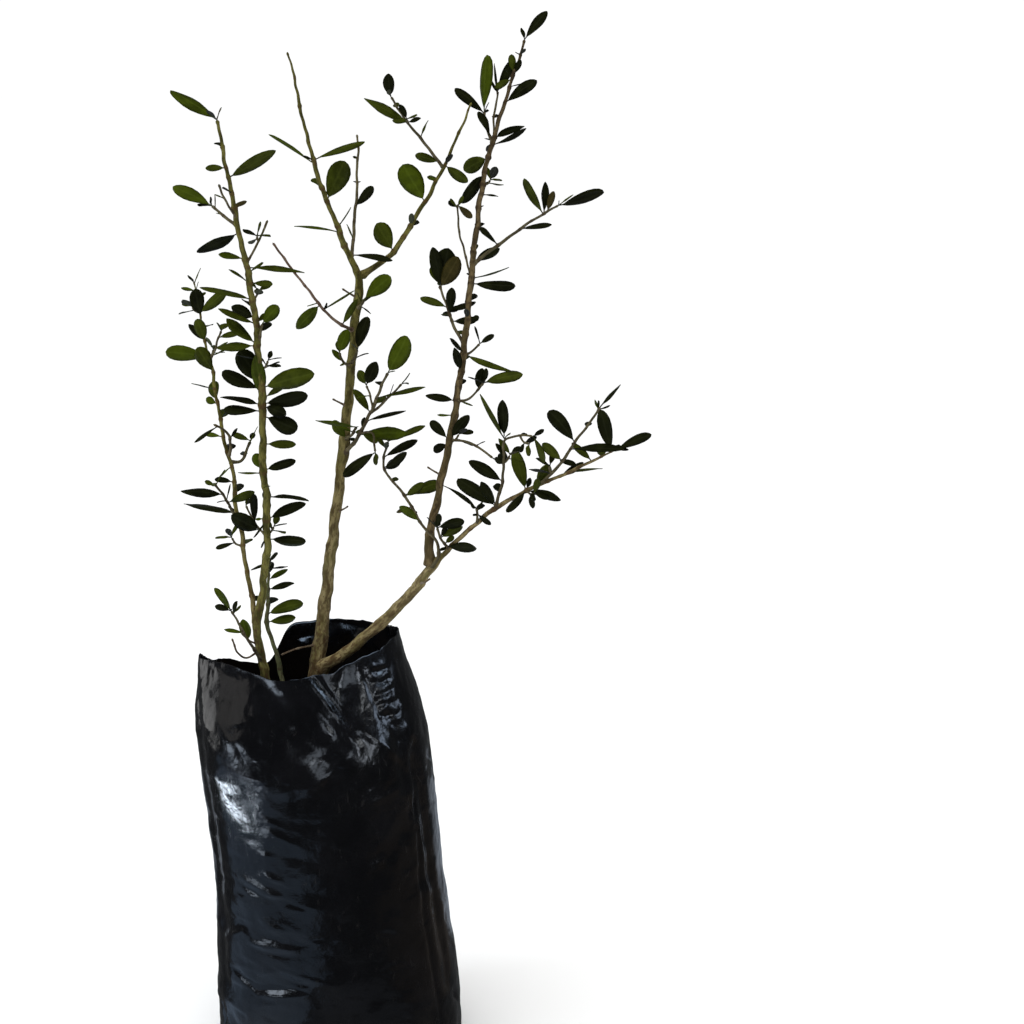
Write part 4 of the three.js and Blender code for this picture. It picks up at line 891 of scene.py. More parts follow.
class Crown:
    """All stems and leaves so far. A leaf is laid only where it keeps clear of them."""

    def __init__(self, limbs, masses):
        self.masses = masses
        self.stems = [*limbs.values(), *(shoot for shoots in masses.values() for shoot in shoots)]
        self.leaves = {name: [] for name in masses}
        self.spurs = []
        self.laid = []

    def lay(self, name, leaf, fine):
        """Keeps a leaf if it is clear of the bag, the stems and the other leaves."""
        samples = leaf_samples(leaf)
        if not clear_of_bag(samples):
            return False
        centre = leaf_point(leaf, 0.5, 0)
        reach = LEAF_REACH_SHARE * leaf["size"]
        measured = samples[FINE_FOOT_SAMPLES:] if fine else samples
        stem_gap = FINE_STEM_CLEARANCE if fine else LEAF_STEM_CLEARANCE
        for stem in self.stems:
            own = stem.name == name and not fine
            if own or length(stem.middle - centre) > stem.reach + reach:
                continue
            if stem.gap_to(measured) < stem_gap:
                return False
        for owner, other_samples, other_centre, other_reach in self.laid:
            leaf_gap = LEAF_LEAF_CLEARANCE * (0.5 if owner == name else 1)
            if fine:
                leaf_gap = FINE_LEAF_CLEARANCE
            if length(other_centre - centre) > reach + other_reach + leaf_gap:
                continue
            if np.min(np.linalg.norm(measured[:, None] - other_samples[None], axis=2)) < leaf_gap:
                return False
        self.laid.append((name, samples, centre, reach))
        self.leaves[name].append(leaf)
        return True

    def lay_habits(self, fine):
        """Lays the leaves of the habits: those of the solids, or the ones too small for them."""
        every_shoot = [shoot for shoots in self.masses.values() for shoot in shoots]
        for shoot_seed, shoot in enumerate(every_shoot, 1):
            young = YOUNG_LEAVES.get(shoot.name, "").split(" ")
            for leaf_seed, wish in enumerate(read_habit(shoot.habit), 1):
                if (wish["size"] < LEAF_SHORTEST) != fine:
                    continue
                place = shoot.place(wish["place"])
                for turn in TURNS_TRIED:
                    leaf = lay_leaf(place, wish, (shoot_seed, leaf_seed), turn)
                    leaf["thickness"] = shoot.radius(wish["place"], place[0][2])
                    leaf["young"] = wish["word"] in young
                    if self.lay(shoot.name, leaf, fine):
                        break

    def grow_at_nodes(self):
        """Grows leaves in the axils and short spurs where a chance says so, and a pair at each tip."""
        seed = FIRST_NODE_SEED
        for name, shoots in self.masses.items():
            for shoot in shoots:
                for node in sorted({wish["place"] for wish in read_habit(shoot.habit)}):
                    self.grow_at_node(name, shoot, node, seed)
                    seed += 1

    def grow_at_node(self, name, shoot, node, seed):
        point, along = shoot.place(node)
        thickness = shoot.radius(node, point[2])
        side = square_to(along, (seed, 1))
        if node > TIP_LEAF_PLACE:
            for k in (1, -1):
                size = FINE_LEAF_SIZE * mix(*AXIL_LEAF_SHARE, chance(seed, k, 42))
                leaf = small_leaf(point, along, side * k, TIP_LEAF_RISE, size, (seed, 2 + k), thickness)
                self.lay(name, leaf, True)
        elif chance(seed, 5, 43) < FINE_SPUR_CHANCE:
            self.grow_spur(name, point, along, side, thickness, seed)
        elif chance(seed, 7, 46) < AXIL_LEAF_CHANCE:
            size = FINE_LEAF_SIZE * mix(*AXIL_LEAF_SHARE, chance(seed, 8, 47))
            self.lay(name, small_leaf(point, along, side, 1.0, size, (seed, 9), thickness), True)

    def grow_spur(self, name, point, along, side, thickness, seed):
        """A short side twig with up to five small leaves, kept where two or more find room."""
        reach = mix(*FINE_SPUR_LENGTH, chance(seed, 6, 44)) + thickness
        middle = point + unit(side + along * SPUR_RISE) * reach * 0.5
        end = middle + unit(side * SPUR_OUTWARDS + along + UP * SPUR_SKYWARD) * reach * 0.5
        spur = Shoot(name, [point, middle, end], FINE_SPUR_RADII)
        spur.foot = thickness
        borne = 0
        for share, count in FINE_SPUR_WHORLS:
            spot, way = spur.place(share)
            first = square_to(way, (seed, count))
            for k in range(count):
                size = FINE_LEAF_SIZE * mix(*FINE_LEAF_SHARE, chance(seed, count + k, 45))
                outwards = turned(first, way, 360 * k / count)
                seeds = (seed, 10 * count + k)
                leaf = small_leaf(spot, way, outwards, SPUR_LEAF_RISE * share, size, seeds, spur.radii[1])
                borne += self.lay(name, leaf, True)
        if borne > 1:
            self.spurs.append(spur)
            self.stems.append(spur)


def grow_crown(limbs, masses):
    crown = Crown(limbs, masses)
    crown.lay_habits(fine=False)
    crown.lay_habits(fine=True)
    crown.grow_at_nodes()
    return crown


# Slow bends that carry the wood and the feet of the leaves alike, so that they stay joined
WOBBLES = [
    ((0.11, 0.05, 0.17), (0.40, 0.10, 0.00), 0.3),
    ((-0.06, 0.13, 0.23), (0.05, 0.38, 0.00), 1.9),
    ((0.19, -0.08, 0.31), (0.22, -0.16, 0.03), 4.1),
    ((0.03, 0.21, -0.40), (-0.12, 0.20, 0.03), 2.6),
    ((-0.15, -0.07, 0.62), (0.12, 0.07, 0.00), 5.2),
]


def wobbled(points):
    moved = np.array(points, float)
    for wave, reach, phase in WOBBLES:
        swing = np.sin(moved @ np.array(wave) + phase)
        moved = moved + swing[..., None] * np.array(reach)
    return moved


# Meshes
def shell_volume(points, faces):
    total = 0.0
    for group in faces:
        p = points[group]
        for k in range(1, group.shape[1] - 1):
            total += float(np.sum(p[:, 0] * np.cross(p[:, k], p[:, k + 1]))) / 6
    return total


class Pile:
    """Closed shells joined into one mesh, with their face materials and point attributes."""

    def __init__(self, **kinds):
        self.kinds = kinds
        self.points = []
        self.groups = {3: [], 4: []}
        self.materials = {3: [], 4: []}
        self.values = {name: [] for name in kinds}
        self.count = 0

    def add(self, points, faces, material=0, **values):
        points = np.asarray(points, float)
        faces = [np.asarray(group) for group in faces if len(group)]
        flip = shell_volume(points - points.mean(axis=0), faces) < 0
        for i, group in enumerate(faces):
            size = group.shape[1]
            slots = material[i] if isinstance(material, list) else material
            self.groups[size].append((group[:, ::-1] if flip else group) + self.count)
            self.materials[size].append(np.broadcast_to(slots, len(group)).astype(np.int32))
        for name in self.kinds:
            self.values[name].append(np.asarray(values[name], float))
        self.points.append(points)
        self.count += len(points)

    def piece(self, name, paints, slot, nodes):
        mesh = bpy.data.meshes.new(name)
        points = np.concatenate(self.points) * MM
        mesh.vertices.add(len(points))
        mesh.vertices.foreach_set("co", points.astype(np.float32).ravel())
        corners, starts, slots = [], [], []
        at = 0
        for size in (3, 4):
            if not self.groups[size]:
                continue
            group = np.concatenate(self.groups[size])
            corners.append(group.ravel())
            starts.append(at + size * np.arange(len(group)))
            slots.append(np.concatenate(self.materials[size]))
            at += group.size
        corners = np.concatenate(corners).astype(np.int32)
        starts = np.concatenate(starts).astype(np.int32)
        mesh.loops.add(len(corners))
        mesh.loops.foreach_set("vertex_index", corners)
        mesh.polygons.add(len(starts))
        mesh.polygons.foreach_set("loop_start", starts)
        mesh.polygons.foreach_set("material_index", np.concatenate(slots))
        for paint in paints:
            mesh.materials.append(paint)
        mesh.update(calc_edges=True)
        mesh.validate()
        for kind, shape in self.kinds.items():
            layer = mesh.attributes.new(kind, "FLOAT_VECTOR" if shape == 3 else "FLOAT", "POINT")
            values = np.concatenate(self.values[kind]).astype(np.float32)
            layer.data.foreach_set("vector" if shape == 3 else "value", values.ravel())
        settle(mesh, name, nodes)


def settle(mesh, name, nodes):
    mesh.shade_smooth()
    piece = bpy.data.objects.new(name, mesh)
    bpy.context.scene.collection.objects.link(piece)
    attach(piece, "root")
    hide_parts(*nodes)


def skin_faces(rows, columns):
    """Quads of rings with the given number of points, each ring closed."""
    r, c = np.meshgrid(np.arange(rows - 1), np.arange(columns), indexing="ij")
    a = (r * columns + c).ravel()
    b = (r * columns + (c + 1) % columns).ravel()
    return np.stack([a, b, b + columns, a + columns], axis=1)


def closed_skin(rings, first, last):
    """Points and faces of a skin over rings of points with a middle point in each end."""
    rows, columns = rings.shape[:2]
    points = np.concatenate([rings.reshape(-1, 3), [first], [last]])
    k = np.arange(columns)
    following = (k + 1) % columns
    head = rows * columns
    tail = (rows - 1) * columns
    low_cap = np.stack([np.full(columns, head), following, k], axis=1)
    high_cap = np.stack([np.full(columns, head + 1), tail + k, tail + following], axis=1)
    return points, [skin_faces(rows, columns), np.concatenate([low_cap, high_cap])]


# Wood
# For wood thicker than the first number: how many sides a ring has, and mm from ring to ring
WOOD_STYLES = [
    (2.4, 26, 0.9),
    (1.2, 18, 1.0),
    (0.0, 10, 1.1),
]
JOIN_REACH = 3.0
# Nodes where no leaf grows: mm between them, less on thin twigs, and how near they may come
NODE_PITCH = (15, 27)
THIN_NODE_PITCH = 0.62
THIN_NODE_RADIUS = 1.2
NODE_START = 6.0
NODE_END = 4
NODE_APART = 9
# Swellings and relief, as shares of the radius
NODE_SWELL = 0.12
SCAR_SWELL = 0.30
OLD_NODE_SWELL = 0.03
OLD_SCAR_SWELL = 0.09
OLD_WOOD = (1.5, 2.8)
# A node's reach in mm, with what each mm of radius adds; its ledge lies above, and is shorter
NODE_REACH = 1.1
NODE_REACH_PER_RADIUS = 0.35
LEDGE_ABOVE = 0.5
LEDGE_SHARE = 0.8
NODE_SWELL_SPREAD = (0.6, 0.8)
NODE_TURN_SPREAD = 0.5
SCAR_WIDTH = 0.55
# How strongly the bark's colours take a scar for a node, and the most that they take
SCAR_MARK = 2.2
MOST_NODE_MARK = 1.5
COLLAR_SWELL = 0.55
COLLAR_REACH = 1.5
# Within its parent a stem stays this much of the parent's radius, and comes up over this stretch
HIDDEN_SHARE = 0.8
HIDDEN_STRETCH = (0.2, 1.0)
BUD_SWELL = 0.35
BUD_BELOW_TIP = 1.6
BUD_REACH = 0.8
TIP_LENGTH = 0.15
FISSURE_DEPTH = 0.022
# Fissures are full at this radius, and their depth keeps between two shares of it
FISSURE_RADIUS = 2.2
FISSURE_SHARES = (0.4, 1.3)
FISSURE_LENGTHS = (7.5, 2.6)
FINER_FISSURES = 0.5
COARSE_DEPTH = 0.022
COARSE_LENGTH = 10
THIN_WOOD = (1.4, 3.0)
THIN_WOOD_BARK = 0.34
# Healed cuts on stout wood: how many, their sizes, the height of the lip and the depth within it
PRUNING_SCARS = 26
PRUNED_WOOD = 3
PRUNING_SCAR_SIZES = (0.8, 1.7)
PRUNING_LIP = 0.10
PRUNING_LIP_WIDTH = 0.55
PRUNING_HOLLOW = 0.09
PRUNING_HOLLOW_SHARE = 0.6
PRUNING_SCAR_ALONG = 0.8
# They show from this radius on, and are full this much above it
PRUNING_FROM = 1.6
PRUNING_FULL_AFTER = 2.0
# How far the bark's pattern moves on from one stem to the next
BARK_SHIFT = 0.37
# A chain's course: points that may overlap at a join, and how far its line and radii are softened
JOIN_OVERLAP = 8
FEWEST_POINTS = 12
SOFTENED_FROM = 30
COURSE_SOFTNESS = 2.2
RADIUS_SOFTNESS = 5
# Looks by the first stem of a chain: its piece, how young it is at both ends, and how knobbly it is
WOOD_LOOKS = {
    "left_green_shoot": ("green_shoot_bark", (0.2, 1), 1.0),
    "right_upright_stem": ("dark_upright_bark", (0, 0.6), 1.2),
    "right_bough": ("limb_bark", (0, 0.25), 1.1),
    "left_side_stem": ("limb_bark", (0.3, 0.9), 1.1),
    "bare_left_twig": ("pale_dry_twigs", (0.4, 1), 1.0),
}
TWIG_LOOK = ("twig_bark", (0.4, 1), 1.0)
SPUR_YOUTH = (0.7, 1)
DRY_TWIGLET_YOUTH = (0, 0.3)
DRY_TWIGLET_TAPER = 0.6
NO_THIN_WOOD_BARK = ("right_bough", "left_side_stem")
STOUT_FOOT = 3.4
FIRST_SPUR_SEED = 201


def link_shoots(shoots):
    """Shoots that carry on from one another become one chain."""
    chains = []
    for shoot in shoots:
        for chain in chains:
            if length(chain[-1].route[-1] - shoot.route[0]) < JOIN_REACH:
                chain.append(shoot)
                break
        else:
            chains.append([shoot])
    return chains


def softened(values, reach):
    """Values smoothed along their row, with both ends kept."""
    width = max(1, int(3 * reach))
    steps = np.arange(-width, width + 1)
    weights = np.exp(-0.5 * (steps / reach) ** 2)
    weights = weights / weights.sum()
    low = 2 * values[0] - values[1:width + 1][::-1]
    high = 2 * values[-1] - values[-width - 1:-1][::-1]
    padded = np.concatenate([low, values, high])
    if values.ndim == 1:
        return np.convolve(padded, weights, mode="valid")
    columns = [np.convolve(padded[:, i], weights, mode="valid") for i in range(values.shape[1])]
    return np.stack(columns, axis=1)


def chain_course(chain):
    """Axis points about a millimetre apart, their radii, and how far along the nodes are."""
    points = radii = None
    nodes = []
    for shoot in chain:
        more, thick = shoot.sampled(max(FEWEST_POINTS, int(shoot.total)))
        if points is None:
            points, radii = more, thick
        else:
            away = np.linalg.norm(points[-JOIN_OVERLAP:] - more[0], axis=1)
            cut = len(points) - JOIN_OVERLAP + int(np.argmin(away))
            points = np.concatenate([points[:cut], more])
            radii = np.concatenate([radii[:cut], thick])
        if shoot.habit:
            places = {wish["place"] for wish in read_habit(shoot.habit)}
            nodes += [shoot.place(place)[0] for place in sorted(places) if place < 1]
    if len(points) > SOFTENED_FROM:
        points = softened(points, COURSE_SOFTNESS)
        radii = softened(radii, RADIUS_SOFTNESS) if len(chain) > 1 else radii
    steps = np.linalg.norm(np.diff(points, axis=0), axis=1)
    lengths = np.concatenate([[0], np.cumsum(steps)])
    arcs = [float(lengths[np.argmin(np.linalg.norm(points - node, axis=1))]) for node in nodes]
    return points, radii, lengths, arcs


def wood_nodes(chain, total, arcs, seed):
    """Arc lengths of the leaf nodes: where leaves grow, and by a spacing where none do."""
    nodes = sorted(arcs)
    pitch_share = 1 if chain[0].radii[0] > THIN_NODE_RADIUS else THIN_NODE_PITCH
    spot, k = NODE_START, 0
    while spot < total - NODE_END:
        if not nodes or min(abs(spot - n) for n in nodes) > NODE_APART:
            nodes.append(spot)
        k += 1
        spot += mix(*NODE_PITCH, chance(seed, k, 51)) * pitch_share
    return sorted(nodes)


def wood_radii(chain, s, lengths, radii, thin_bark):
    """The radius along a chain without its ends, and with its collar, its bud and its round tip."""
    r = np.interp(s, lengths, radii)
    r = r + thin_bark * (1 - smooth_step(*THIN_WOOD, r))
    foot = chain[0].foot
    if foot:
        collar = 1 + COLLAR_SWELL * np.exp(-np.maximum(0, s - foot) / (COLLAR_REACH * radii[0]))
        shown = smooth_step(*HIDDEN_STRETCH, s / foot)
        r = np.where(s < foot, mix(np.minimum(r, HIDDEN_SHARE * foot), r * collar, shown), r * collar)
    tip = s - s[-1]
    end = np.sqrt(np.clip(1 - ((tip + r[-1]) / r[-1]).clip(0, 1) ** 2, 0.02, 1))
    bud = 1 + BUD_SWELL * np.exp(-(((tip + BUD_BELOW_TIP) / BUD_REACH) ** 2))
    return r, r * end * bud


def node_swellings(s, r, theta, nodes, seed, knobbly):
    """Swollen rings at the nodes, and the scars of old leaves on two sides of each."""
    swell = np.zeros(len(s))
    grown = np.zeros((len(s), len(theta)))
    for k, node in enumerate(nodes):
        thick = np.interp(node, s, r)
        reach = NODE_REACH + NODE_REACH_PER_RADIUS * thick
        bump = np.exp(-(((s - node) / reach) ** 2))
        ledge = np.exp(-(((s - node - LEDGE_ABOVE) / (LEDGE_SHARE * reach)) ** 2))
        old = float(smooth_step(*OLD_WOOD, thick))
        size = NODE_SWELL_SPREAD[0] + NODE_SWELL_SPREAD[1] * chance(seed, k, 52)
        swell += mix(NODE_SWELL, OLD_NODE_SWELL, old) * knobbly * size * bump
        facing = math.pi / 2 * k + NODE_TURN_SPREAD * chance(seed, k, 53)
        for side in (0, math.pi):
            apart = np.angle(np.exp(1j * (theta - facing - side)))
            scar = np.exp(-((apart / SCAR_WIDTH) ** 2))
            grown += mix(SCAR_SWELL, OLD_SCAR_SWELL, old) * knobbly * ledge[:, None] * scar[None]
    return swell, grown


def add_bark_relief(relief, s, r, theta, seed, knobbly):
    """Adds fissures along the stem and a slow unevenness."""
    turns = max(3, round(len(theta) / 3))
    around = theta[None] / (2 * math.pi) + 0 * s[:, None]
    along = s[:, None] + 0 * theta[None]
    fissures = smooth_noise(around * turns, along / FISSURE_LENGTHS[0], seed, turns)
    finer = smooth_noise(around * turns * 2, along / FISSURE_LENGTHS[1], seed + 9, 2 * turns)
    coarse = smooth_noise(around * 2, along / COARSE_LENGTH, seed + 4, 2)
    depth = FISSURE_DEPTH * np.clip(r / FISSURE_RADIUS, *FISSURE_SHARES)[:, None]
    relief += depth * (fissures + FINER_FISSURES * finer)
    relief += COARSE_DEPTH * knobbly * coarse


def add_pruning_scars(relief, s, r, theta, seed):
    """Adds small healed cuts, each a hollow with a raised lip."""
    stout = np.clip((r - PRUNING_FROM) / PRUNING_FULL_AFTER, 0, 1)[:, None]
    for k in range(PRUNING_SCARS):
        at = s[-1] * chance(seed, k, 55)
        facing = 2 * math.pi * chance(seed, k, 56)
        sideways = np.angle(np.exp(1j * (theta - facing))) * float(np.interp(at, s, r))
        away = np.hypot(sideways[None], (s[:, None] - at) * PRUNING_SCAR_ALONG)
        size = mix(*PRUNING_SCAR_SIZES, chance(seed, k, 57))
        lip = PRUNING_LIP * np.exp(-(((away - size) / PRUNING_LIP_WIDTH) ** 2))
        hollow = PRUNING_HOLLOW * np.exp(-((away / (PRUNING_HOLLOW_SHARE * size)) ** 2))
        relief += (lip - hollow) * stout


def wood_rings(axis, tangents, theta, thick):
    """Rings of points round the axis, each turned as little as can be from the one before."""
    rings = []
    normal = unit(across(SKEW, tangents[0]))
    for middle, along, wide in zip(axis, tangents, thick):
        normal = unit(across(normal, along))
        other = np.cross(along, normal)
        out = np.cos(theta)[:, None] * normal + np.sin(theta)[:, None] * other
        rings.append(middle + out * wide[:, None])
    return np.array(rings)


def tube(chain, seed, pile, youth, knobbly=1.0, thin_bark=THIN_WOOD_BARK):
    """One closed tapering tube with node collars, leaf scars and fissured bark."""
    points, radii, lengths, arcs = chain_course(chain)
    total = float(lengths[-1])
    sides, pitch = next((sides, pitch) for above, sides, pitch in WOOD_STYLES if radii[0] > above)
    s = np.linspace(0, total, max(6, int(total / pitch)))
    theta = 2 * math.pi * np.arange(sides) / sides
    axis = np.stack([np.interp(s, lengths, points[:, i]) for i in range(3)], axis=1)
    tangents = np.gradient(axis, axis=0)
    tangents /= np.linalg.norm(tangents, axis=1)[:, None]
    r, thick = wood_radii(chain, s, lengths, radii, thin_bark)
    swell, grown = node_swellings(s, r, theta, wood_nodes(chain, total, arcs, seed), seed, knobbly)
    relief = 1 + swell[:, None] + grown
    add_bark_relief(relief, s, r, theta, seed, knobbly)
    if radii[0] > PRUNED_WOOD:
        add_pruning_scars(relief, s, r, theta, seed)
    rings = wobbled(wood_rings(axis, tangents, theta, thick[:, None] * relief))
    ends = wobbled(np.array([axis[0], axis[-1] + tangents[-1] * TIP_LENGTH]))
    skin, faces = closed_skin(rings, ends[0], ends[1])
    drawn_straight = [
        np.stack([np.cos(theta) * wide, np.sin(theta) * wide, np.full(sides, at)], axis=1) * MM
        + seed * BARK_SHIFT for at, wide in zip(s, r)
    ]
    end_places = [drawn_straight[0].mean(axis=0), drawn_straight[-1].mean(axis=0)]
    place = np.concatenate([*drawn_straight, end_places])
    young = np.interp(np.concatenate([np.repeat(s, sides), [0, total]]), [0, total], youth)
    at_node = np.clip(swell[:, None] / NODE_SWELL + SCAR_MARK * grown, 0, MOST_NODE_MARK).ravel()
    pile.add(skin, faces, bark_place=place, bark_youth=young, bark_node=np.concatenate([at_node, [0, 0]]))


def wood_look(chain, limbs):
    first = chain[0]
    if first.name in WOOD_LOOKS:
        return WOOD_LOOKS[first.name]
    if first.name in limbs:
        foot_youth = 0 if first.radii[0] > STOUT_FOOT else 0.5
        return "limb_bark", (foot_youth, 1.0 if len(chain) > 1 else 0.3), 1.1
    return TWIG_LOOK


def make_wood(limbs, masses, spurs):
    pieces = (
        ("limb_bark", paint_bark, [*limbs, *masses]),
        ("dark_upright_bark", paint_dark_bark,
         ["right_upright_stem", "upright_lower_foliage", "upright_middle_foliage"]),
        ("twig_bark", paint_twigs, list(masses)),
        ("green_shoot_bark", paint_green_shoot, ["left_green_shoot"]),
        ("pale_dry_twigs", paint_dry_twigs, ["bare_left_twig"]),
    )
    piles = {name: Pile(bark_place=3, bark_youth=1, bark_node=1) for name, _, _ in pieces}
    twigs = [shoot for shoots in masses.values() for shoot in shoots]
    for seed, chain in enumerate(link_shoots([*limbs.values(), *twigs]), 1):
        piece, youth, knobbly = wood_look(chain, limbs)
        thin_bark = 0 if chain[0].name in NO_THIN_WOOD_BARK else THIN_WOOD_BARK
        tube(chain, seed, piles[piece], youth, knobbly, thin_bark)
    for seed, spur in enumerate(spurs, FIRST_SPUR_SEED):
        tube([spur], seed, piles["twig_bark"], SPUR_YOUTH)
    for seed, (parent, height, bends, radius) in enumerate(DRY_TWIGLETS, FIRST_SPUR_SEED + len(spurs)):
        source = limbs[parent]
        twiglet = Shoot(parent, [source.at_height(height), *bends], (radius, DRY_TWIGLET_TAPER * radius))
        twiglet.foot = source.thickness_at(height)
        tube([twiglet], seed, piles["pale_dry_twigs"], DRY_TWIGLET_YOUTH)
    for name, paint, replaced in pieces:
        piles[name].piece(name, [paint()], "bark", replaced)


# Leaves
BLADE_ACROSS = np.array([-1, -0.55, 0, 0.55, 1])
# A ring's points: over the upper side from edge to edge, then back below
RING_COLUMNS = [0, 1, 2, 3, 4, 3, 2, 1]
RING_IS_TOP = [True] * 5 + [False] * 3
RING_LOWER = [0] * 4 + [1] * 4
BLADE_ROWS = 10
BLADE_ENDS = (0.02, 0.985)
STALK_ROWS = 3
STALK_SHARE = 0.16
# Seeded forms of the blade, as shares of its half width, or of the leaf's length
BLADE_RISE = (0.60, 0.90)
BLADE_BLUNTNESS = (0.46, 0.62)
NARROW_BLADE = 0.32
NARROW_BLUNTNESS = 0.14
BLADE_FOLD = (0.08, 0.34)
BLADE_ROLL = (0.10, 0.42)
BLADE_WAVE = (0.0, 0.10)
# How fast a blade's wave runs along it, and how much of a turn it may start later
BLADE_WAVE_SPEED = 9
BLADE_WAVE_START = 6
BLADE_BEND = 0.16
BLADE_TWIST = 0.9
BLADE_ARCH = 0.12
BLADE_THICKNESS = 0.42
THICKNESS_ABOVE = 0.45
THICKNESS_BELOW = 0.55
BLADE_LEAST_HALF_WIDTH = 0.42
BLADE_TIP_HALF_WIDTH = 0.3
STALK_THICKNESS = 0.9
MIDRIB_KEEL = 0.16
MIDRIB_WIDTH = 0.2
BLADE_TIP_LENGTH = 0.16
# How far up the leaf its blade begins: past the stem's skin, and within two shares of the leaf
STALK_OUT_OF_BARK = 0.5
STALK_SIZE_SHARE = 0.045
STALK_LIMITS = (0.08, 0.75)
# Colours by tint: the upper side's two shades, and the underside. The dark tint's colours are painted
# shade, upper side and underside alike
LEAF_COLOURS = {
    "dark": ((0.0030, 0.0036, 0.0009), (0.0078, 0.0094, 0.0020), (0.014, 0.017, 0.009)),
    "middle": ((0.0165, 0.0215, 0.0012), (0.0320, 0.0410, 0.0026), (0.030, 0.036, 0.016)),
    "bright": ((0.019, 0.027, 0.0008), (0.038, 0.054, 0.0018), (0.050, 0.062, 0.022)),
    "olive": ((0.020, 0.017, 0.004), (0.040, 0.031, 0.008), (0.055, 0.045, 0.020)),
}


def blade_outline(u, a, b):
    peak = a / (a + b)
    widest = peak ** a * (1 - peak) ** b
    return np.clip(u, 0, 1) ** a * np.clip(1 - u, 0, 1) ** b / widest


def blade_rows(leaf):
    """How far up the blade, and up the whole leaf, each ring lies."""
    size = leaf["size"]
    shortest, longest = STALK_LIMITS
    start = (leaf["thickness"] + STALK_SIZE_SHARE * size + STALK_OUT_OF_BARK) / size
    start = max(shortest, min(longest, start))
    u = (1 - np.cos(math.pi * np.linspace(*BLADE_ENDS, BLADE_ROWS))) / 2
    stalk = np.linspace(0, start, STALK_ROWS)[:-1]
    return np.concatenate([0 * stalk, u]), np.concatenate([stalk, start + (1 - start) * u])


def blade_widths(leaf, u):
    """The half width at each ring."""
    a, b = leaf["seeds"]
    rise = mix(*BLADE_RISE, chance(a, b, 61))
    blunt = mix(*BLADE_BLUNTNESS, chance(a, b, 62))
    if leaf["width"] / leaf["size"] < NARROW_BLADE:
        blunt += NARROW_BLUNTNESS
    wide = 0.5 * leaf["width"] * blade_outline(u, rise, blunt)
    wide = np.maximum(wide, BLADE_LEAST_HALF_WIDTH)
    wide[-1] = max(BLADE_TIP_HALF_WIDTH, wide[-1] * 0.9)
    return wide


def blade_middle(leaf, share, right):
    """Points along the midrib: drooping, arched and bent to one side."""
    a, b = leaf["seeds"]
    size = leaf["size"]
    bend = spread(BLADE_BEND, a, b, 65)
    arch = spread(BLADE_ARCH, a, b, 68)
    drop = (leaf["curl"] + arch * (1 - share)) * size * share * share
    middle = leaf["root"] + leaf["way"] * (share * size)[:, None] - leaf["upper"] * drop[:, None]
    return middle + right * (bend * size * share * share)[:, None]


def leaf_shell(leaf, pile):
    """A closed blade on its stalk: folded along the midrib, rolled, bent and twisted."""
    a, b = leaf["seeds"]
    fold = mix(*BLADE_FOLD, chance(a, b, 63))
    roll = mix(*BLADE_ROLL, chance(a, b, 64))
    twist = spread(BLADE_TWIST, a, b, 66)
    wave = mix(*BLADE_WAVE, chance(a, b, 67))
    u, share = blade_rows(leaf)
    right = np.cross(leaf["way"], leaf["upper"])
    middle = blade_middle(leaf, share, right)
    v = BLADE_ACROSS[None]
    w = blade_widths(leaf, u)[:, None]
    stalk = np.clip(1 - u / STALK_SHARE, 0, 1)[:, None]
    height = w * (fold * np.abs(v) - roll * v * v) * (1 - stalk)
    ripple = np.sin(BLADE_WAVE_SPEED * share + BLADE_WAVE_START * chance(a, b, 69))
    height = height + w * wave * v * v * ripple[:, None] * np.sign(v)
    thick = mix(BLADE_THICKNESS, STALK_THICKNESS, stalk) * np.sqrt(np.clip(1 - v * v, 0, 1))
    keel = MIDRIB_KEEL * np.exp(-((v / MIDRIB_WIDTH) ** 2)) * (1 - stalk)
    upward = height + THICKNESS_ABOVE * thick
    downward = height - THICKNESS_BELOW * thick - keel
    turn = (twist * share * share)[:, None]
    level = np.where(RING_IS_TOP, upward[:, RING_COLUMNS], downward[:, RING_COLUMNS])
    sideways = (w * v)[:, RING_COLUMNS]
    out = sideways * np.cos(turn) - level * np.sin(turn)
    lift = level * np.cos(turn) + sideways * np.sin(turn)
    rings = middle[:, None] + right * out[:, :, None] + leaf["upper"] * lift[:, :, None]
    rings = rings + (wobbled(leaf["root"][None]) - leaf["root"])[0]
    last = rings[-1].mean(axis=0) + leaf["way"] * BLADE_TIP_LENGTH
    points, faces = closed_skin(rings, rings[0].mean(axis=0), last)
    lower = np.tile(RING_LOWER, len(share) - 1)
    lower[:len(RING_LOWER) * (STALK_ROWS - 1)] = 1
    across_marks = np.tile(BLADE_ACROSS[RING_COLUMNS], len(share))
    mark = chance(a, b, 70)
    along_marks = np.repeat(u, len(RING_COLUMNS))
    place = np.stack([across_marks, along_marks, np.full(len(across_marks), mark)], axis=1)
    place = np.concatenate([place, [[0, 0, mark], [0, 1, mark]]])
    pile.add(points, faces, [lower, np.ones(2 * len(RING_COLUMNS), int)], leaf_place=place)


def make_leaves(leaves):
    piles = [Pile(leaf_place=3) for _ in LEAF_TINTS]
    bearers = [set() for _ in LEAF_TINTS]
    for name, blades in leaves.items():
        shares = np.cumsum(TINTS_OF_MASSES.get(name, USUAL_TINTS))
        for leaf in blades:
            draw = chance(*leaf["seeds"], 71)
            tint = min(int(np.searchsorted(shares, draw)), len(LEAF_TINTS) - 1)
            if leaf["young"]:
                tint = LEAF_TINTS.index("bright")
            leaf_shell(leaf, piles[tint])
            bearers[tint].add(name)
    for tint, pile, names in zip(LEAF_TINTS, piles, bearers):
        deep, light, below = LEAF_COLOURS[tint]
        paints = [paint_blade("leaf_" + tint, deep, light), paint_underside("underside_" + tint, below)]
        pile.piece("leaves_" + tint, paints, "leaf", sorted(names))


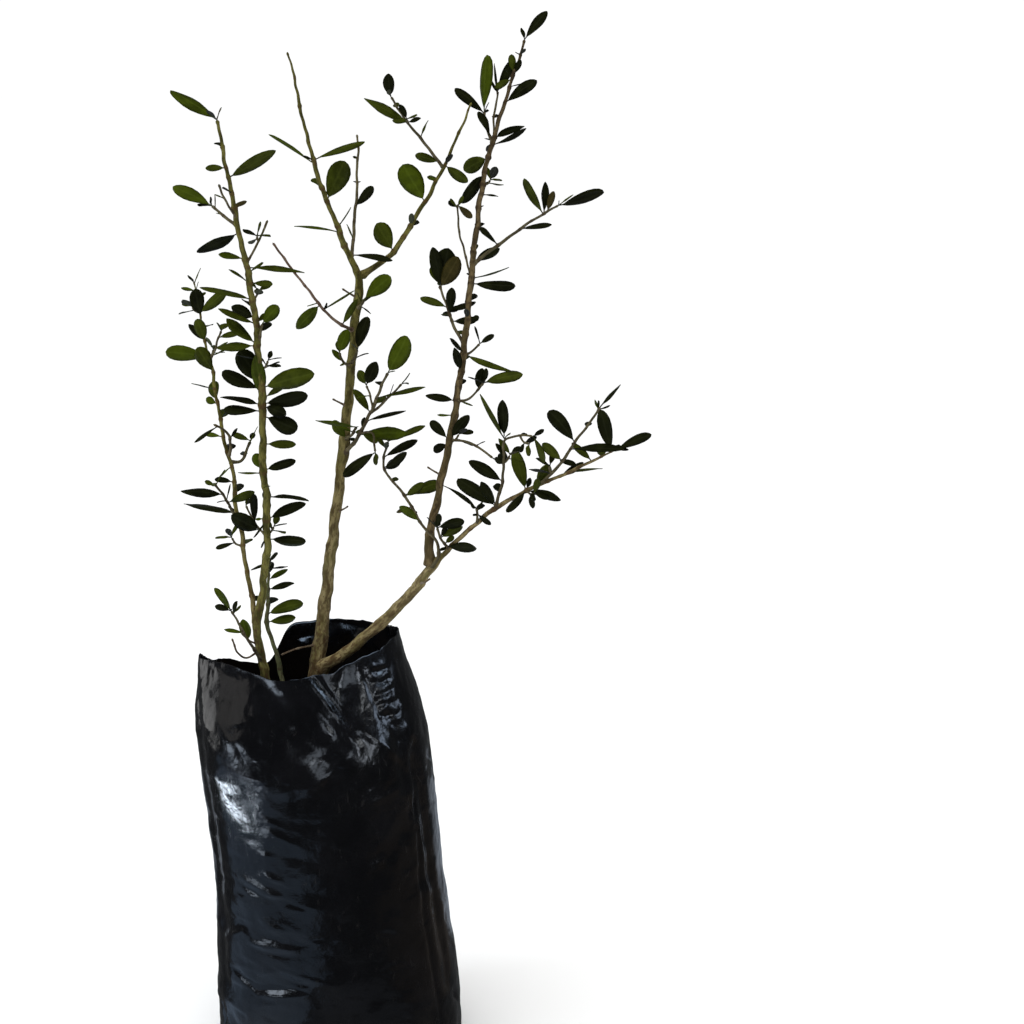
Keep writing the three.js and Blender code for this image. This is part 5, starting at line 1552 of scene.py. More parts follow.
# Node trees
class Layers:
    """A node tree and short ways to add nodes to it."""

    def __init__(self, tree):
        self.tree = tree

    def feed(self, socket, value):
        if isinstance(value, bpy.types.NodeSocket):
            self.tree.links.new(value, socket)
        elif isinstance(value, tuple) and len(value) == 3 and socket.type == "RGBA":
            socket.default_value = (*value, 1)
        else:
            socket.default_value = value

    def node(self, kind, inputs, **settings):
        """A new node with its settings and its inputs, and gives its outputs."""
        node = self.tree.nodes.new(kind)
        for name, value in settings.items():
            setattr(node, name, value)
        for name, value in inputs.items():
            self.feed(node.inputs[name], value)
        return node.outputs

    def place(self, name, stretch=(1, 1, 1)):
        """The piece's own attribute, or its object coordinates, stretched."""
        if name == "object":
            source = self.node("ShaderNodeTexCoord", {})["Object"]
        else:
            source = self.node("ShaderNodeAttribute", {}, attribute_name=name)["Vector"]
        return self.stretched(source, stretch)

    def stretched(self, vector, stretch):
        return self.node("ShaderNodeVectorMath", {0: vector, 1: stretch}, operation="MULTIPLY")[0]

    def value(self, name):
        return self.node("ShaderNodeAttribute", {}, attribute_name=name)["Fac"]

    def noise(self, vector, scale, detail=3, rough=0.55, warp=0):
        sizes = {"Scale": scale, "Detail": detail, "Roughness": rough, "Distortion": warp}
        return self.node("ShaderNodeTexNoise", {"Vector": vector, **sizes})["Fac"]

    def cells(self, vector, scale):
        return self.node("ShaderNodeTexVoronoi", {"Vector": vector, "Scale": scale})["Distance"]

    def span(self, value, low, high, to_low=0, to_high=1):
        """The value between low and high, eased, as a value between two others."""
        ends = {"From Min": low, "From Max": high, "To Min": to_low, "To Max": to_high}
        return self.node(
            "ShaderNodeMapRange", {"Value": value, **ends}, interpolation_type="SMOOTHSTEP")["Result"]

    def math(self, operation, a, b=0.0):
        return self.node("ShaderNodeMath", {0: a, 1: b}, operation=operation)[0]

    def parts(self, vector):
        return self.node("ShaderNodeSeparateXYZ", {0: vector})

    def blend(self, share, a, b):
        return self.node("ShaderNodeMix", {"Factor": share, 6: a, 7: b}, data_type="RGBA")[2]

    def bump(self, height, distance, strength=1.0, under=None):
        inputs = {"Height": height, "Distance": distance, "Strength": strength}
        if under is not None:
            inputs["Normal"] = under
        return self.node("ShaderNodeBump", inputs)["Normal"]


class Effect(Layers):
    """A node group with named inputs and outputs, built once."""

    def __init__(self, name, inputs, outputs, kind="ShaderNodeTree"):
        super().__init__(bpy.data.node_groups.new(name, kind))
        for way, sockets in (("INPUT", inputs), ("OUTPUT", outputs)):
            for kind, labels in sockets.items():
                for label in labels:
                    self.tree.interface.new_socket(label, in_out=way, socket_type="NodeSocket" + kind)
        self.given = self.tree.nodes.new("NodeGroupInput").outputs
        self.result = self.tree.nodes.new("NodeGroupOutput").inputs


# Bag of soft film
def drawn_lines(rows, angle, z):
    """How far folds and wrinkles push the film outwards, as soft-topped ridges."""
    out = 0
    for a0, z0, a1, z1, amount, reach in rows:
        t, away = line_distance(angle, z, (a0, z0, a1, z1))
        ridge = np.exp(-(np.hypot(away, RIDGE_ROUNDING) - RIDGE_ROUNDING) * RIDGE_SLOPE / reach)
        out = out + amount * np.sin(math.pi * mix(*FOLD_FADE, t)) * ridge
    return out


def seeded_wrinkles():
    rows = []
    for kind in WRINKLES:
        seed = kind["seed"]
        for k in range(kind["count"]):
            angle = mix(*kind["angles"], chance(k, 1, seed))
            z = mix(*kind["heights"], chance(k, 2, seed))
            upright = 90 if chance(k, 4, seed) < kind["upright"] else 0
            tilt = math.radians(kind["tilt"] + spread(kind["tilt_spread"], k, 3, seed) + upright)
            reach = mix(*kind["reach"], chance(k, 5, seed) ** kind["short"])
            sideways = math.degrees(reach * math.cos(tilt) / BAG_BODY_HALF_WIDTH)
            rise = reach * math.sin(tilt)
            depth = mix(*kind["depth"], chance(k, 6, seed))
            if chance(k, 7, seed) >= kind["raised"]:
                depth = -depth
            width = mix(*kind["width"], chance(k, 8, seed))
            rows.append((angle - sideways, z - rise, angle + sideways, z + rise, depth, width))
    return rows


def film_noise(angle, z, steps, seed):
    """Noise that meets itself all round the bag, with steps of so many degrees and mm."""
    return smooth_noise(angle / steps[0], z / steps[1], seed, 360 / steps[0])


def patch_ripples(angle, z):
    inside = plateau(PATCH_ANGLES, angle) * plateau(PATCH_HEIGHTS, z)
    sway = PATCH_SWAY * smooth_noise(angle / PATCH_SWAY_STEPS[0], z / PATCH_SWAY_STEPS[1], 7)
    return inside * PATCH_DEPTH * (np.abs(np.sin((z + sway) * math.pi / PATCH_WAVE)) - 0.5)


def film_push(angle, z):
    """How far the film stands out from the plain bag at each place."""
    out = drawn_lines(FOLDS, angle, z)
    wrinkles = seeded_wrinkles()
    for shift in (-360, 0, 360):
        moved = [(a0 + shift, z0, a1 + shift, z1, *rest) for a0, z0, a1, z1, *rest in wrinkles]
        near = [row for row in moved if -WRINKLE_OVERLAP < row[0] < 360 + WRINKLE_OVERLAP]
        out = out + drawn_lines(near, angle, z)
    out = out + patch_ripples(angle, z)
    slack = smooth_step(*SLACK_HEIGHTS, z)
    for steps, depths, seed in UNEVENNESS:
        out = out + film_noise(angle, z, steps, seed) * mix(*depths, slack)
    spot, height, wide, tall = SMOOTH_SPOT
    calm = SMOOTH_SPOT_CALM * np.exp(-(((angle - spot) / wide) ** 2) - ((z - height) / tall) ** 2)
    return out * (1 - calm) * smooth_step(0, CALM_FOOT, z)


def flat_outward(angle, z):
    ax, ay = bag_plain(angle + OUTWARD_STEP, z)
    bx, by = bag_plain(angle - OUTWARD_STEP, z)
    dx, dy = ax - bx, ay - by
    size = np.hypot(dx, dy)
    return dy / size, -dx / size


def film_points(angle, z, push):
    x, y = bag_plain(np.mod(angle, 360), z)
    nx, ny = flat_outward(np.mod(angle, 360), z)
    return np.stack([x + nx * push, y + ny * push, z], axis=-1)


def skin_normals(points):
    """Normals of a closed grid of rings, outwards for rings that run counter-clockwise."""
    around = np.roll(points, -1, axis=1) - np.roll(points, 1, axis=1)
    rising = np.gradient(points, axis=0)
    normals = np.cross(around, rising)
    return normals / np.linalg.norm(normals, axis=2)[:, :, None]


def film_edge(angle):
    level = 0 * angle
    wave = sum(film_noise(angle, level, (step, 1), seed) * height for step, height, seed in EDGE_WAVES)
    return rim_height(angle) + wave


def make_film():
    columns = np.arange(FILM_COLUMNS) * 360 / FILM_COLUMNS
    share = np.linspace(0, 1, FILM_ROWS)
    share = np.concatenate([share[:-1], [1 - FILM_RIM_STEP / BAG_HEIGHT, 1]])
    angle, rise = np.meshgrid(columns, share)
    z = rise * film_edge(columns)[None]
    outer = film_points(angle, z, film_push(angle, z))
    inner = outer - skin_normals(outer) * FILM_THICKNESS
    low_row = int(np.argmin(np.abs(share * BAG_HEIGHT - (SOIL_TOP - FILM_SEEN_BELOW_SOIL))))
    seen_rows = np.unique(np.linspace(low_row, len(share) - 1, FILM_RIM_ROWS).astype(int))[::-1]
    hidden_angle, hidden_z = np.meshgrid(columns, FILM_HIDDEN_HEIGHTS)
    hidden = film_points(hidden_angle, hidden_z, -FILM_HIDDEN_THICKNESS + 0 * hidden_z)
    rings = np.concatenate([outer, inner[seen_rows], hidden])
    points, faces = closed_skin(rings, (0, 0, 0), (0, 0, FILM_HIDDEN_HEIGHTS[-1]))
    pile = Pile()
    pile.add(points, faces)
    pile.piece("bag_film", [paint_film()], "film", ["grow_bag"])


# Soil
def soil_relief(x, y):
    lumps = sum(share * smooth_noise(x / step, y / step, seed) for step, share, seed in SOIL_LUMPS)
    return SOIL_RELIEF * lumps


def soil_mounds(limbs, x, y):
    """Soil drawn up a little round the feet of the stems."""
    mound = 0
    for name in ("trunk", "left_stem", "left_green_shoot"):
        foot = limbs[name].route[0]
        away = np.hypot(x - foot[0], y - foot[1])
        mound = mound + SOIL_MOUND_HEIGHT * np.exp(-((away / SOIL_MOUND_REACH) ** 2))
    return mound


def make_soil(limbs):
    columns = np.arange(SOIL_COLUMNS) * 360 / SOIL_COLUMNS
    level = np.full(SOIL_COLUMNS, float(SOIL_TOP))
    push = film_push(columns, level) - FILM_THICKNESS - SOIL_EDGE_GAP
    rim = film_points(columns, level, push)
    centre = np.array([float(bag_middle(SOIL_TOP)), 0, SOIL_TOP])
    shares = np.linspace(1, SOIL_INNERMOST, SOIL_RINGS)[:, None]
    top = centre + (rim[None] - centre) * shares[:, :, None]
    x, y = top[:, :, 0], top[:, :, 1]
    top[:, :, 2] += soil_relief(x, y) + soil_mounds(limbs, x, y) + SOIL_EDGE_RISE * shares ** SOIL_EDGE_POWER
    side_angle, side_z = np.meshgrid(columns, SOIL_SIDE_HEIGHTS)
    sides = film_points(side_angle, side_z, -FILM_HIDDEN_THICKNESS - SOIL_SIDE_INSET + 0 * side_z)
    rings = np.concatenate([sides, top])
    peak = (centre[0], centre[1], float(top[-1, :, 2].mean()))
    points, faces = closed_skin(rings, (0, 0, SOIL_SIDE_HEIGHTS[0]), peak)
    pile = Pile()
    pile.add(points, faces)
    pile.piece("soil_filling", [paint_soil()], "soil", ["soil"])
    bed = top[CRUMB_FREE_RINGS:]
    ground = bpy.data.meshes.new("crumb_ground")
    ground.from_pydata((bed.reshape(-1, 3) * MM).tolist(), [], skin_faces(len(bed), SOIL_COLUMNS).tolist())
    scatter(ground, "soil_crumbs", paint_crumbs(), ["soil"], CRUMBS)


def scatter_tree():
    """Grains strewn over a surface: a named input for each thing that differs."""
    grains = Effect("strewn_grains", {
        "Geometry": ["Surface"], "Float": ["Per square metre", "Radius", "Flatness", "Lumps"],
        "Int": ["Seed"], "Material": ["Material"],
    }, {"Geometry": ["Grains"]}, "GeometryNodeTree")
    given, node = grains.given, grains.node
    density, seed = given["Per square metre"], given["Seed"]
    spots = {"Mesh": given["Surface"], "Density": density, "Seed": seed}
    strewn = node("GeometryNodeDistributePointsOnFaces", spots)
    grain = node("GeometryNodeMeshIcoSphere", {"Radius": given["Radius"], "Subdivisions": 2})
    least, most = CRUMB_STRETCHES
    sizes = node("FunctionNodeRandomValue", {0: least, 1: most, "Seed": seed}, data_type="FLOAT_VECTOR")
    flat = node("ShaderNodeCombineXYZ", {0: 1, 1: 1, 2: given["Flatness"]})
    flattened = node("ShaderNodeVectorMath", {0: sizes[0], 1: flat[0]}, operation="MULTIPLY")
    placed = node("GeometryNodeInstanceOnPoints", {
        "Points": strewn["Points"], "Rotation": strewn["Rotation"], "Instance": grain["Mesh"],
        "Scale": flattened[0],
    })
    real = node("GeometryNodeRealizeInstances", {"Geometry": placed["Instances"]})
    noise = node("ShaderNodeTexNoise", {"Scale": CRUMB_LUMPS_SCALE})
    centred = node("ShaderNodeVectorMath", {0: noise["Color"], 1: (0.5, 0.5, 0.5)}, operation="SUBTRACT")
    offset = node("ShaderNodeVectorMath", {0: centred[0], "Scale": given["Lumps"]}, operation="SCALE")
    lumpy = node("GeometryNodeSetPosition", {"Geometry": real["Geometry"], "Offset": offset[0]})
    painted = node("GeometryNodeSetMaterial", {"Geometry": lumpy[0], "Material": given["Material"]})
    grains.feed(grains.result["Grains"], painted["Geometry"])
    return grains.tree


def scatter(surface, name, paint, nodes, sizes):
    """Grains over a surface mesh, as one plain mesh."""
    ground = bpy.data.objects.new(name + "_ground", surface)
    bpy.context.scene.collection.objects.link(ground)
    tree = scatter_tree()
    work = ground.modifiers.new("grains", "NODES")
    work.node_group = tree
    wanted = {**sizes, "Material": paint}
    for item in tree.interface.items_tree:
        if item.name in wanted:
            work[item.identifier] = wanted[item.name]
    shaped = ground.evaluated_get(bpy.context.evaluated_depsgraph_get())
    mesh = bpy.data.meshes.new_from_object(shaped)
    mesh.name = name
    bpy.data.objects.remove(ground)
    settle(mesh, name, nodes)


# Materials
BARK_SPECULAR = 0.13
LEAF_SPECULAR = 0.07
FILM_SPECULAR = 0.34


class Paint(Layers):
    """A material, with its Principled shader."""

    def __init__(self, name):
        self.material = bpy.data.materials.new(name)
        self.material.use_nodes = True
        self.shader = self.material.node_tree.nodes["Principled BSDF"]
        super().__init__(self.material.node_tree)

    def finished(self, colour, roughness, normal=None, specular=None):
        """Sets what the surface does with light, and gives the material."""
        finish = {"Base Color": colour, "Roughness": roughness, "Normal": normal}
        for name, value in {**finish, "Specular IOR Level": specular}.items():
            if value is not None:
                self.feed(self.shader.inputs[name], value)
        return self.material

    def effect(self, group, given):
        """Places a shared effect in this material with its own values, and gives its outputs."""
        return self.node("ShaderNodeGroup", given, node_tree=group)


# Patterns of bark: how often each repeats in a metre, detail, roughness and warp
BARK_PATTERNS = [
    ((270, 270, 95), 5, 0.6, 0.4),
    ((1100, 1100, 420), 3, 0.55, 0),
    ((110, 110, 42), 3, 0.55, 0),
    ((620, 620, 330), 2, 0.55, 0),
]


def make_bark_layers():
    """Bark: long streaks, brown spots and blotches that turn to young bark up the stem."""
    wood = Effect("bark_layers", {
        "Vector": ["Place"],
        "Float": ["Youth", "Node", "Height"],
        "Color": ["Old dark", "Old pale", "Old blotch", "Young dark", "Young pale", "Spots"],
    }, {"Color": ["Colour"], "Float": ["Roughness", "Streaks", "Fine"]})
    given = wood.given
    streaks, fine, blotches, specks = [
        wood.noise(wood.stretched(given["Place"], often), 1.0, *look) for often, *look in BARK_PATTERNS
    ]
    base = wood.blend(wood.span(streaks, 0.38, 0.64), given["Old dark"], given["Old pale"])
    base = wood.blend(wood.span(blotches, 0.45, 0.68), base, given["Old blotch"])
    newer = wood.blend(wood.span(streaks, 0.36, 0.66), given["Young dark"], given["Young pale"])
    base = wood.blend(wood.span(given["Youth"], 0.15, 0.75), base, newer)
    base = wood.blend(wood.span(specks, 0.60, 0.70, 0, 0.75), base, given["Spots"])
    near_soil = wood.span(given["Height"], 0.36, 0.29)
    low_specks = wood.math("MULTIPLY", wood.span(specks, 0.46, 0.58, 0, 0.7), near_soil)
    base = wood.blend(low_specks, base, given["Spots"])
    # Painted shade: the low spots of the fine relief are darkened towards near black
    base = wood.blend(wood.span(fine, 0.30, 0.75, 0.25, 0), base, (0.02, 0.015, 0.01))
    base = wood.blend(wood.span(given["Node"], 0.35, 1.2, 0, 0.6), base, given["Spots"])
    wood.feed(wood.result["Colour"], base)
    wood.feed(wood.result["Roughness"], wood.span(streaks, 0.3, 0.7, 0.9, 0.68))
    wood.feed(wood.result["Streaks"], streaks)
    wood.feed(wood.result["Fine"], fine)
    return wood.tree


BARK_LAYERS = make_bark_layers()


def bark_look(name, old, young, spots, streak_depth=0.00022):
    p = Paint(name)
    bark = p.effect(BARK_LAYERS, {
        "Place": p.place("bark_place"), "Youth": p.value("bark_youth"), "Node": p.value("bark_node"),
        "Height": p.parts(p.place("object"))[2], "Old dark": old[0], "Old pale": old[1],
        "Old blotch": old[2], "Young dark": young[0], "Young pale": young[1], "Spots": spots,
    })
    relief = p.bump(bark["Fine"], 0.00009, 0.7, p.bump(bark["Streaks"], streak_depth, 0.9))
    return p.finished(bark["Colour"], bark["Roughness"], relief, BARK_SPECULAR)


def paint_bark():
    old = ((0.056, 0.037, 0.013), (0.225, 0.176, 0.078), (0.104, 0.086, 0.026))
    young = ((0.034, 0.033, 0.005), (0.124, 0.114, 0.024))
    return bark_look("olive_bark", old, young, (0.052, 0.025, 0.010), 0.00014)


def paint_dark_bark():
    old = ((0.038, 0.026, 0.011), (0.138, 0.100, 0.044), (0.056, 0.043, 0.016))
    young = ((0.026, 0.018, 0.009), (0.085, 0.062, 0.032))
    return bark_look("dark_olive_bark", old, young, (0.020, 0.011, 0.006))


def paint_twigs():
    old = ((0.050, 0.037, 0.020), (0.125, 0.100, 0.058), (0.060, 0.053, 0.026))
    young = ((0.045, 0.038, 0.018), (0.105, 0.090, 0.046))
    return bark_look("young_twig_bark", old, young, (0.028, 0.016, 0.009), 0.0001)


def paint_green_shoot():
    old = ((0.070, 0.072, 0.034), (0.140, 0.140, 0.074), (0.085, 0.086, 0.040))
    young = ((0.045, 0.052, 0.018), (0.095, 0.102, 0.044))
    return bark_look("grey_green_shoot", old, young, (0.046, 0.034, 0.016), 0.0001)


def paint_dry_twigs():
    old = ((0.075, 0.053, 0.030), (0.165, 0.125, 0.080), (0.098, 0.078, 0.053))
    young = ((0.090, 0.055, 0.038), (0.180, 0.122, 0.086))
    return bark_look("dry_twig_bark", old, young, (0.042, 0.022, 0.012), 0.0001)


def make_leaf_veins():
    """Masks of a leaf's midrib and side veins, and its own shade, by the place on its blade."""
    leaf = Effect("leaf_veins", {"Vector": ["Place"]}, {"Float": ["Midrib", "Veins", "Shade"]})
    across_blade, along_blade, shade = leaf.parts(leaf.given["Place"])[0:3]
    side = leaf.math("ABSOLUTE", across_blade)
    ladder = leaf.math("SUBTRACT", leaf.math("MULTIPLY", along_blade, 8.0), leaf.math("MULTIPLY", side, 1.5))
    waves = leaf.math("ABSOLUTE", leaf.math("SINE", leaf.math("MULTIPLY", ladder, math.pi)))
    leaf.feed(leaf.result["Midrib"], leaf.span(side, 0.16, 0.03))
    leaf.feed(leaf.result["Veins"], leaf.span(waves, 0.22, 0.02))
    leaf.feed(leaf.result["Shade"], shade)
    return leaf.tree


LEAF_VEINS = make_leaf_veins()


def paint_blade(name, deep, light):
    p = Paint(name)
    leaf = p.effect(LEAF_VEINS, {"Place": p.place("leaf_place")})
    midrib, veins = leaf["Midrib"], leaf["Veins"]
    mottle = p.noise(p.place("object"), 130, 3)
    base = p.blend(p.span(mottle, 0.35, 0.7), deep, light)
    base = p.blend(p.math("MULTIPLY", leaf["Shade"], 0.55), base, light)
    pale = tuple(1.5 * c + 0.006 for c in light)
    base = p.blend(p.math("MULTIPLY", veins, 0.05), base, pale)
    base = p.blend(p.math("MULTIPLY", midrib, 0.26), base, pale)
    ribs = p.bump(p.math("MULTIPLY", veins, -0.6), 0.00006, 0.6)
    relief = p.bump(p.noise(p.place("object"), 1500, 2), 0.00005, 0.5, ribs)
    return p.finished(base, p.span(mottle, 0.3, 0.7, 0.40, 0.54), relief, LEAF_SPECULAR)


def paint_underside(name, colour):
    p = Paint(name)
    leaf = p.effect(LEAF_VEINS, {"Place": p.place("leaf_place")})
    midrib, veins = leaf["Midrib"], leaf["Veins"]
    mottle = p.noise(p.place("object"), 210, 3)
    darker = tuple(0.72 * c for c in colour)
    pale = tuple(min(1.0, 1.35 * c + 0.01) for c in colour)
    base = p.blend(p.span(mottle, 0.35, 0.7), darker, colour)
    base = p.blend(p.math("MULTIPLY", midrib, 0.75), base, pale)
    base = p.blend(p.math("MULTIPLY", veins, 0.2), base, pale)
    relief = p.bump(p.math("MULTIPLY", veins, 0.6), 0.00012, 0.8)
    return p.finished(base, p.span(mottle, 0.3, 0.7, 0.58, 0.7), relief)


def paint_film():
    p = Paint("black_bag_film")
    at = p.place("object")
    clouds = p.noise(at, 26, 4, 0.6)
    scuffs = p.noise(p.place("object", (1, 1, 0.35)), 190, 4, 0.65, 0.6)
    crinkle = p.noise(at, 160, 3, 0.55, 0.3)
    pebbles = p.noise(at, 520, 2)
    dusty = p.span(p.parts(at)[2], 0.06, 0.0, 0, 0.6)
    base = p.blend(p.span(clouds, 0.42, 0.7), (0.0012, 0.0013, 0.0018), (0.0027, 0.0028, 0.0036))
    base = p.blend(p.math("MULTIPLY", p.span(scuffs, 0.62, 0.78), 0.5), base, (0.016, 0.0145, 0.013))
    base = p.blend(p.math("MULTIPLY", dusty, p.span(clouds, 0.4, 0.65)), base, (0.020, 0.017, 0.013))
    relief = p.bump(pebbles, 0.00012, 0.4, p.bump(crinkle, 0.0008, 0.45))
    return p.finished(base, p.span(scuffs, 0.35, 0.75, 0.13, 0.30), relief, FILM_SPECULAR)


def paint_soil():
    p = Paint("potting_soil")
    at = p.place("object")
    clods = p.noise(at, 240, 4, 0.6)
    grain = p.cells(at, 900)
    base = p.blend(p.span(clods, 0.36, 0.66), (0.018, 0.011, 0.007), (0.062, 0.040, 0.024))
    base = p.blend(p.span(grain, 0.0, 0.25, 0.5, 0), base, (0.090, 0.066, 0.044))
    relief = p.bump(grain, 0.0005, 0.8, p.bump(clods, 0.0012, 0.8))
    return p.finished(base, p.span(clods, 0.3, 0.7, 0.95, 0.82), relief)


def paint_crumbs():
    p = Paint("soil_crumb")
    at = p.place("object")
    patches = p.noise(at, 420, 2)
    grain = p.noise(at, 2600, 3)
    base = p.blend(p.span(patches, 0.38, 0.62), (0.020, 0.012, 0.008), (0.100, 0.068, 0.042))
    base = p.blend(p.span(grain, 0.4, 0.7, 0, 0.4), base, (0.150, 0.118, 0.085))
    return p.finished(base, p.span(grain, 0.3, 0.7, 0.95, 0.8), p.bump(grain, 0.0002, 0.8))


def paint_floor():
    p = Paint("pale_studio_floor")
    shade = p.noise(p.place("object"), 3, 2)
    base = p.blend(shade, (0.91, 0.905, 0.895), (0.935, 0.93, 0.92))
    return p.finished(base, p.span(shade, 0.3, 0.7, 0.9, 0.96))


# Studio
FLOOR_RADIUS = 40
FLOOR_SIDES = 96
FLOOR_HEIGHT = -0.0002
BACKDROP_STRENGTH = 1.05
# The room around: how bright it is on dull surfaces, and as it is seen mirrored
ROOM_COLOUR = (0.92, 0.96, 1.0)
ROOM_STRENGTH = 0.28
MIRRORED_ROOM_STRENGTH = 0.08
OVERHEAD_STRENGTH = 3.1
OVERHEAD_SPREAD = 75
OVERHEAD_DIRECTION = (0.12, 0.32, -1.0)
# Lights that dull surfaces see: place, what they face, size, energy and colour
SOFTBOXES = {
    "left_softbox": ((-1.30, -0.55, 0.62), (-0.02, 0.0, 0.30), (0.42, 0.85), 11, (0.86, 0.92, 1.0)),
    "right_softbox": ((1.4, -0.8, 0.9), (0.05, 0.0, 0.35), (0.5, 0.9), 5, (1.0, 0.96, 0.90)),
}


def floor_panel(x, y, size, energy, colour):
    """A panel that lies on the floor and faces upwards."""
    return (x, y, 0.002), (x, y, 1.0), size, energy, colour


# Panels that are only seen mirrored, by the film: place, what they face, size, energy and colour
PANELS = {
    "floor_glow": floor_panel(-0.46, -0.24, (0.62, 0.36), 1.75, (0.50, 0.70, 1.0)),
    "floor_bright": floor_panel(-0.30, -0.42, (0.24, 0.20), 0.30, (0.56, 0.74, 1.0)),
    "floor_near": floor_panel(0.01, -0.165, (0.22, 0.10), 0.036, (0.74, 0.84, 1.0)),
    "floor_warm": floor_panel(0.62, -0.06, (0.60, 0.50), 0.32, (1.0, 0.72, 0.48)),
    "left_streak": ((-0.118, -0.072, 0.177), (-0.067, -0.060, 0.202), (0.066, 0.005), 0.050,
                    (0.78, 0.88, 1.0)),
    "left_ripples": ((-0.245, -0.220, 0.130), (-0.045, -0.070, 0.12), (0.10, 0.05), 0.085,
                     (0.72, 0.84, 1.0)),
    "left_low": ((-0.211, -0.132, 0.232), (-0.045, -0.072, 0.055), (0.07, 0.07), 0.11, (0.72, 0.84, 1.0)),
    "back_left": ((-0.570, 0.099, 0.313), (-0.089, -0.03, 0.27), (0.24, 0.30), 0.46, (1.0, 1.0, 1.0)),
    "left_mouth": ((-0.401, -0.158, 0.456), (-0.062, -0.048, 0.274), (0.22, 0.20), 0.10,
                   (1.0, 0.96, 0.92)),
    "right_patch": ((0.605, -0.124, 0.455), (0.04, -0.045, 0.27), (0.20, 0.14), 0.52, (0.64, 0.78, 1.0)),
    "right_crease": ((0.373, -0.530, 0.329), (0.0, -0.07, 0.235), (0.12, 0.10), 0.34, (0.80, 0.88, 1.0)),
    "front_rib": ((0.042, -0.197, 0.296), (-0.006, -0.072, 0.228), (0.06, 0.05), 0.028,
                  (0.76, 0.86, 1.0)),
    "right_front": ((0.97, -0.79, 0.70), (0.02, -0.05, 0.26), (0.30, 0.22), 1.2, (0.88, 0.94, 1.0)),
    "floor_back": floor_panel(0.05, 0.42, (0.60, 0.30), 0.85, (0.74, 0.84, 1.0)),
    "back_high": ((-0.35, 0.95, 0.62), (-0.02, 0.05, 0.22), (0.36, 0.26), 0.25, (0.88, 0.94, 1.0)),
    "over_mouth": ((0.020, -0.045, 0.345), (0.015, 0.05, 0.30), (0.12, 0.07), 0.26, (0.58, 0.76, 1.0)),
}
# Panels that are turned about the way they face, in degrees
PANEL_ROLLS = {"left_streak": -25}
# Sizes of the panels that are nested in each floor panel, so that it fades out at its edges
FLOOR_PANEL_STEPS = (1.35, 1.1, 0.85, 0.6, 0.35)


def make_floor():
    mesh = bpy.data.meshes.new("studio_floor")
    turns = [2 * math.pi * k / FLOOR_SIDES for k in range(FLOOR_SIDES)]
    ring = [(FLOOR_RADIUS * math.cos(turn), FLOOR_RADIUS * math.sin(turn), FLOOR_HEIGHT) for turn in turns]
    mesh.from_pydata(ring, [], [list(range(FLOOR_SIDES))])
    mesh.materials.append(paint_floor())
    floor = bpy.data.objects.new("studio_floor", mesh)
    floor.visible_glossy = False
    bpy.context.scene.collection.objects.link(floor)


def stand(name, data, place, facing):
    """Puts a light or the camera in the scene, turned the way it faces."""
    thing = bpy.data.objects.new(name, data)
    thing.location = place
    thing.rotation_euler = facing.to_euler()
    bpy.context.scene.collection.objects.link(thing)
    return thing


def add_light(name, place, target, size, energy, colour, roll=0, mirrored=False):
    light = bpy.data.lights.new(name, "AREA")
    light.shape = "RECTANGLE"
    light.size, light.size_y = size
    light.energy = energy
    light.color = colour
    facing = (Vector(target) - Vector(place)).to_track_quat("-Z", "Y")
    lamp = stand(name, light, place, facing @ Quaternion((0, 0, 1), math.radians(roll)))
    lamp.visible_diffuse = not mirrored
    lamp.visible_glossy = mirrored
    lamp.visible_camera = False


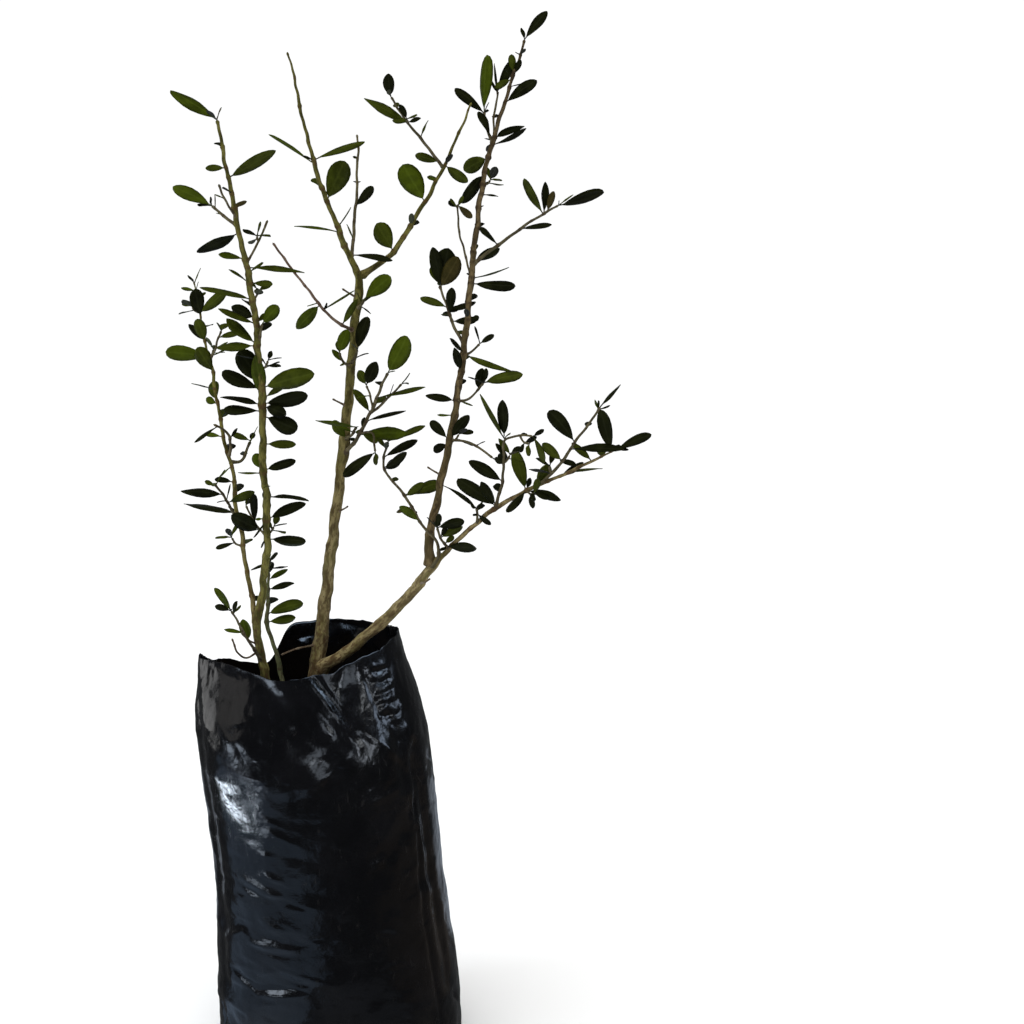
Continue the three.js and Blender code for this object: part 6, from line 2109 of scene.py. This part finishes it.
def make_world():
    """A white backdrop for the camera, and a dimmer room for the surfaces and their reflections."""
    world = bpy.data.worlds.new("studio")
    world.use_nodes = True
    air = Layers(world.node_tree)
    rays = air.node("ShaderNodeLightPath", {})
    strengths = {"To Min": ROOM_STRENGTH, "To Max": MIRRORED_ROOM_STRENGTH}
    strength = air.node("ShaderNodeMapRange", {"Value": rays["Is Glossy Ray"], **strengths})["Result"]
    room = air.node("ShaderNodeBackground", {"Color": ROOM_COLOUR, "Strength": strength})
    backdrop = air.node("ShaderNodeBackground", {"Color": (1, 1, 1), "Strength": BACKDROP_STRENGTH})
    either = air.node("ShaderNodeMixShader", {0: rays["Is Camera Ray"], 1: room[0], 2: backdrop[0]})
    air.feed(world.node_tree.nodes["World Output"].inputs["Surface"], either[0])
    bpy.context.scene.world = world


def add_overhead():
    """A very soft light from far above, so that the floor is as bright far off as near."""
    light = bpy.data.lights.new("overhead_dome", "SUN")
    light.energy = OVERHEAD_STRENGTH
    light.angle = math.radians(OVERHEAD_SPREAD)
    lamp = stand("overhead_dome", light, (0, 0, 0), Vector(OVERHEAD_DIRECTION).to_track_quat("-Z", "Y"))
    lamp.visible_glossy = False


def add_panels():
    for name, (place, target, size, energy, colour) in PANELS.items():
        steps = FLOOR_PANEL_STEPS if name.startswith("floor") else (1.0,)
        roll = PANEL_ROLLS.get(name, 0)
        for step in steps:
            share = step ** 2 / sum(each ** 2 for each in steps)
            stepped = (size[0] * step, size[1] * step)
            add_light(name + "_panel", place, target, stepped, energy * share, colour, roll, mirrored=True)


def make_studio():
    make_floor()
    make_world()
    add_overhead()
    for name, box in SOFTBOXES.items():
        add_light(name, *box)
    add_panels()


def set_view():
    bpy.context.scene.view_settings.view_transform = "Standard"


def make_camera():
    rise = math.radians(CAMERA_ELEVATION)
    aim = Vector(AIM)
    place = aim + Vector((0, -math.cos(rise), math.sin(rise))) * CAMERA_DISTANCE
    data = bpy.data.cameras.new("photo_camera")
    data.lens = CAMERA_LENS
    data.sensor_width = CAMERA_SENSOR
    facing = (aim - place).to_track_quat("-Z", "Y")
    bpy.context.scene.camera = stand("photo_camera", data, place, facing)


make_camera()
make_studio()
set_view()
the_limbs = grow_limbs()
the_masses = grow_twigs(the_limbs)
the_crown = grow_crown(the_limbs, the_masses)
make_wood(the_limbs, the_masses, the_crown.spurs)
make_leaves(the_crown.leaves)
make_film()
make_soil(the_limbs)
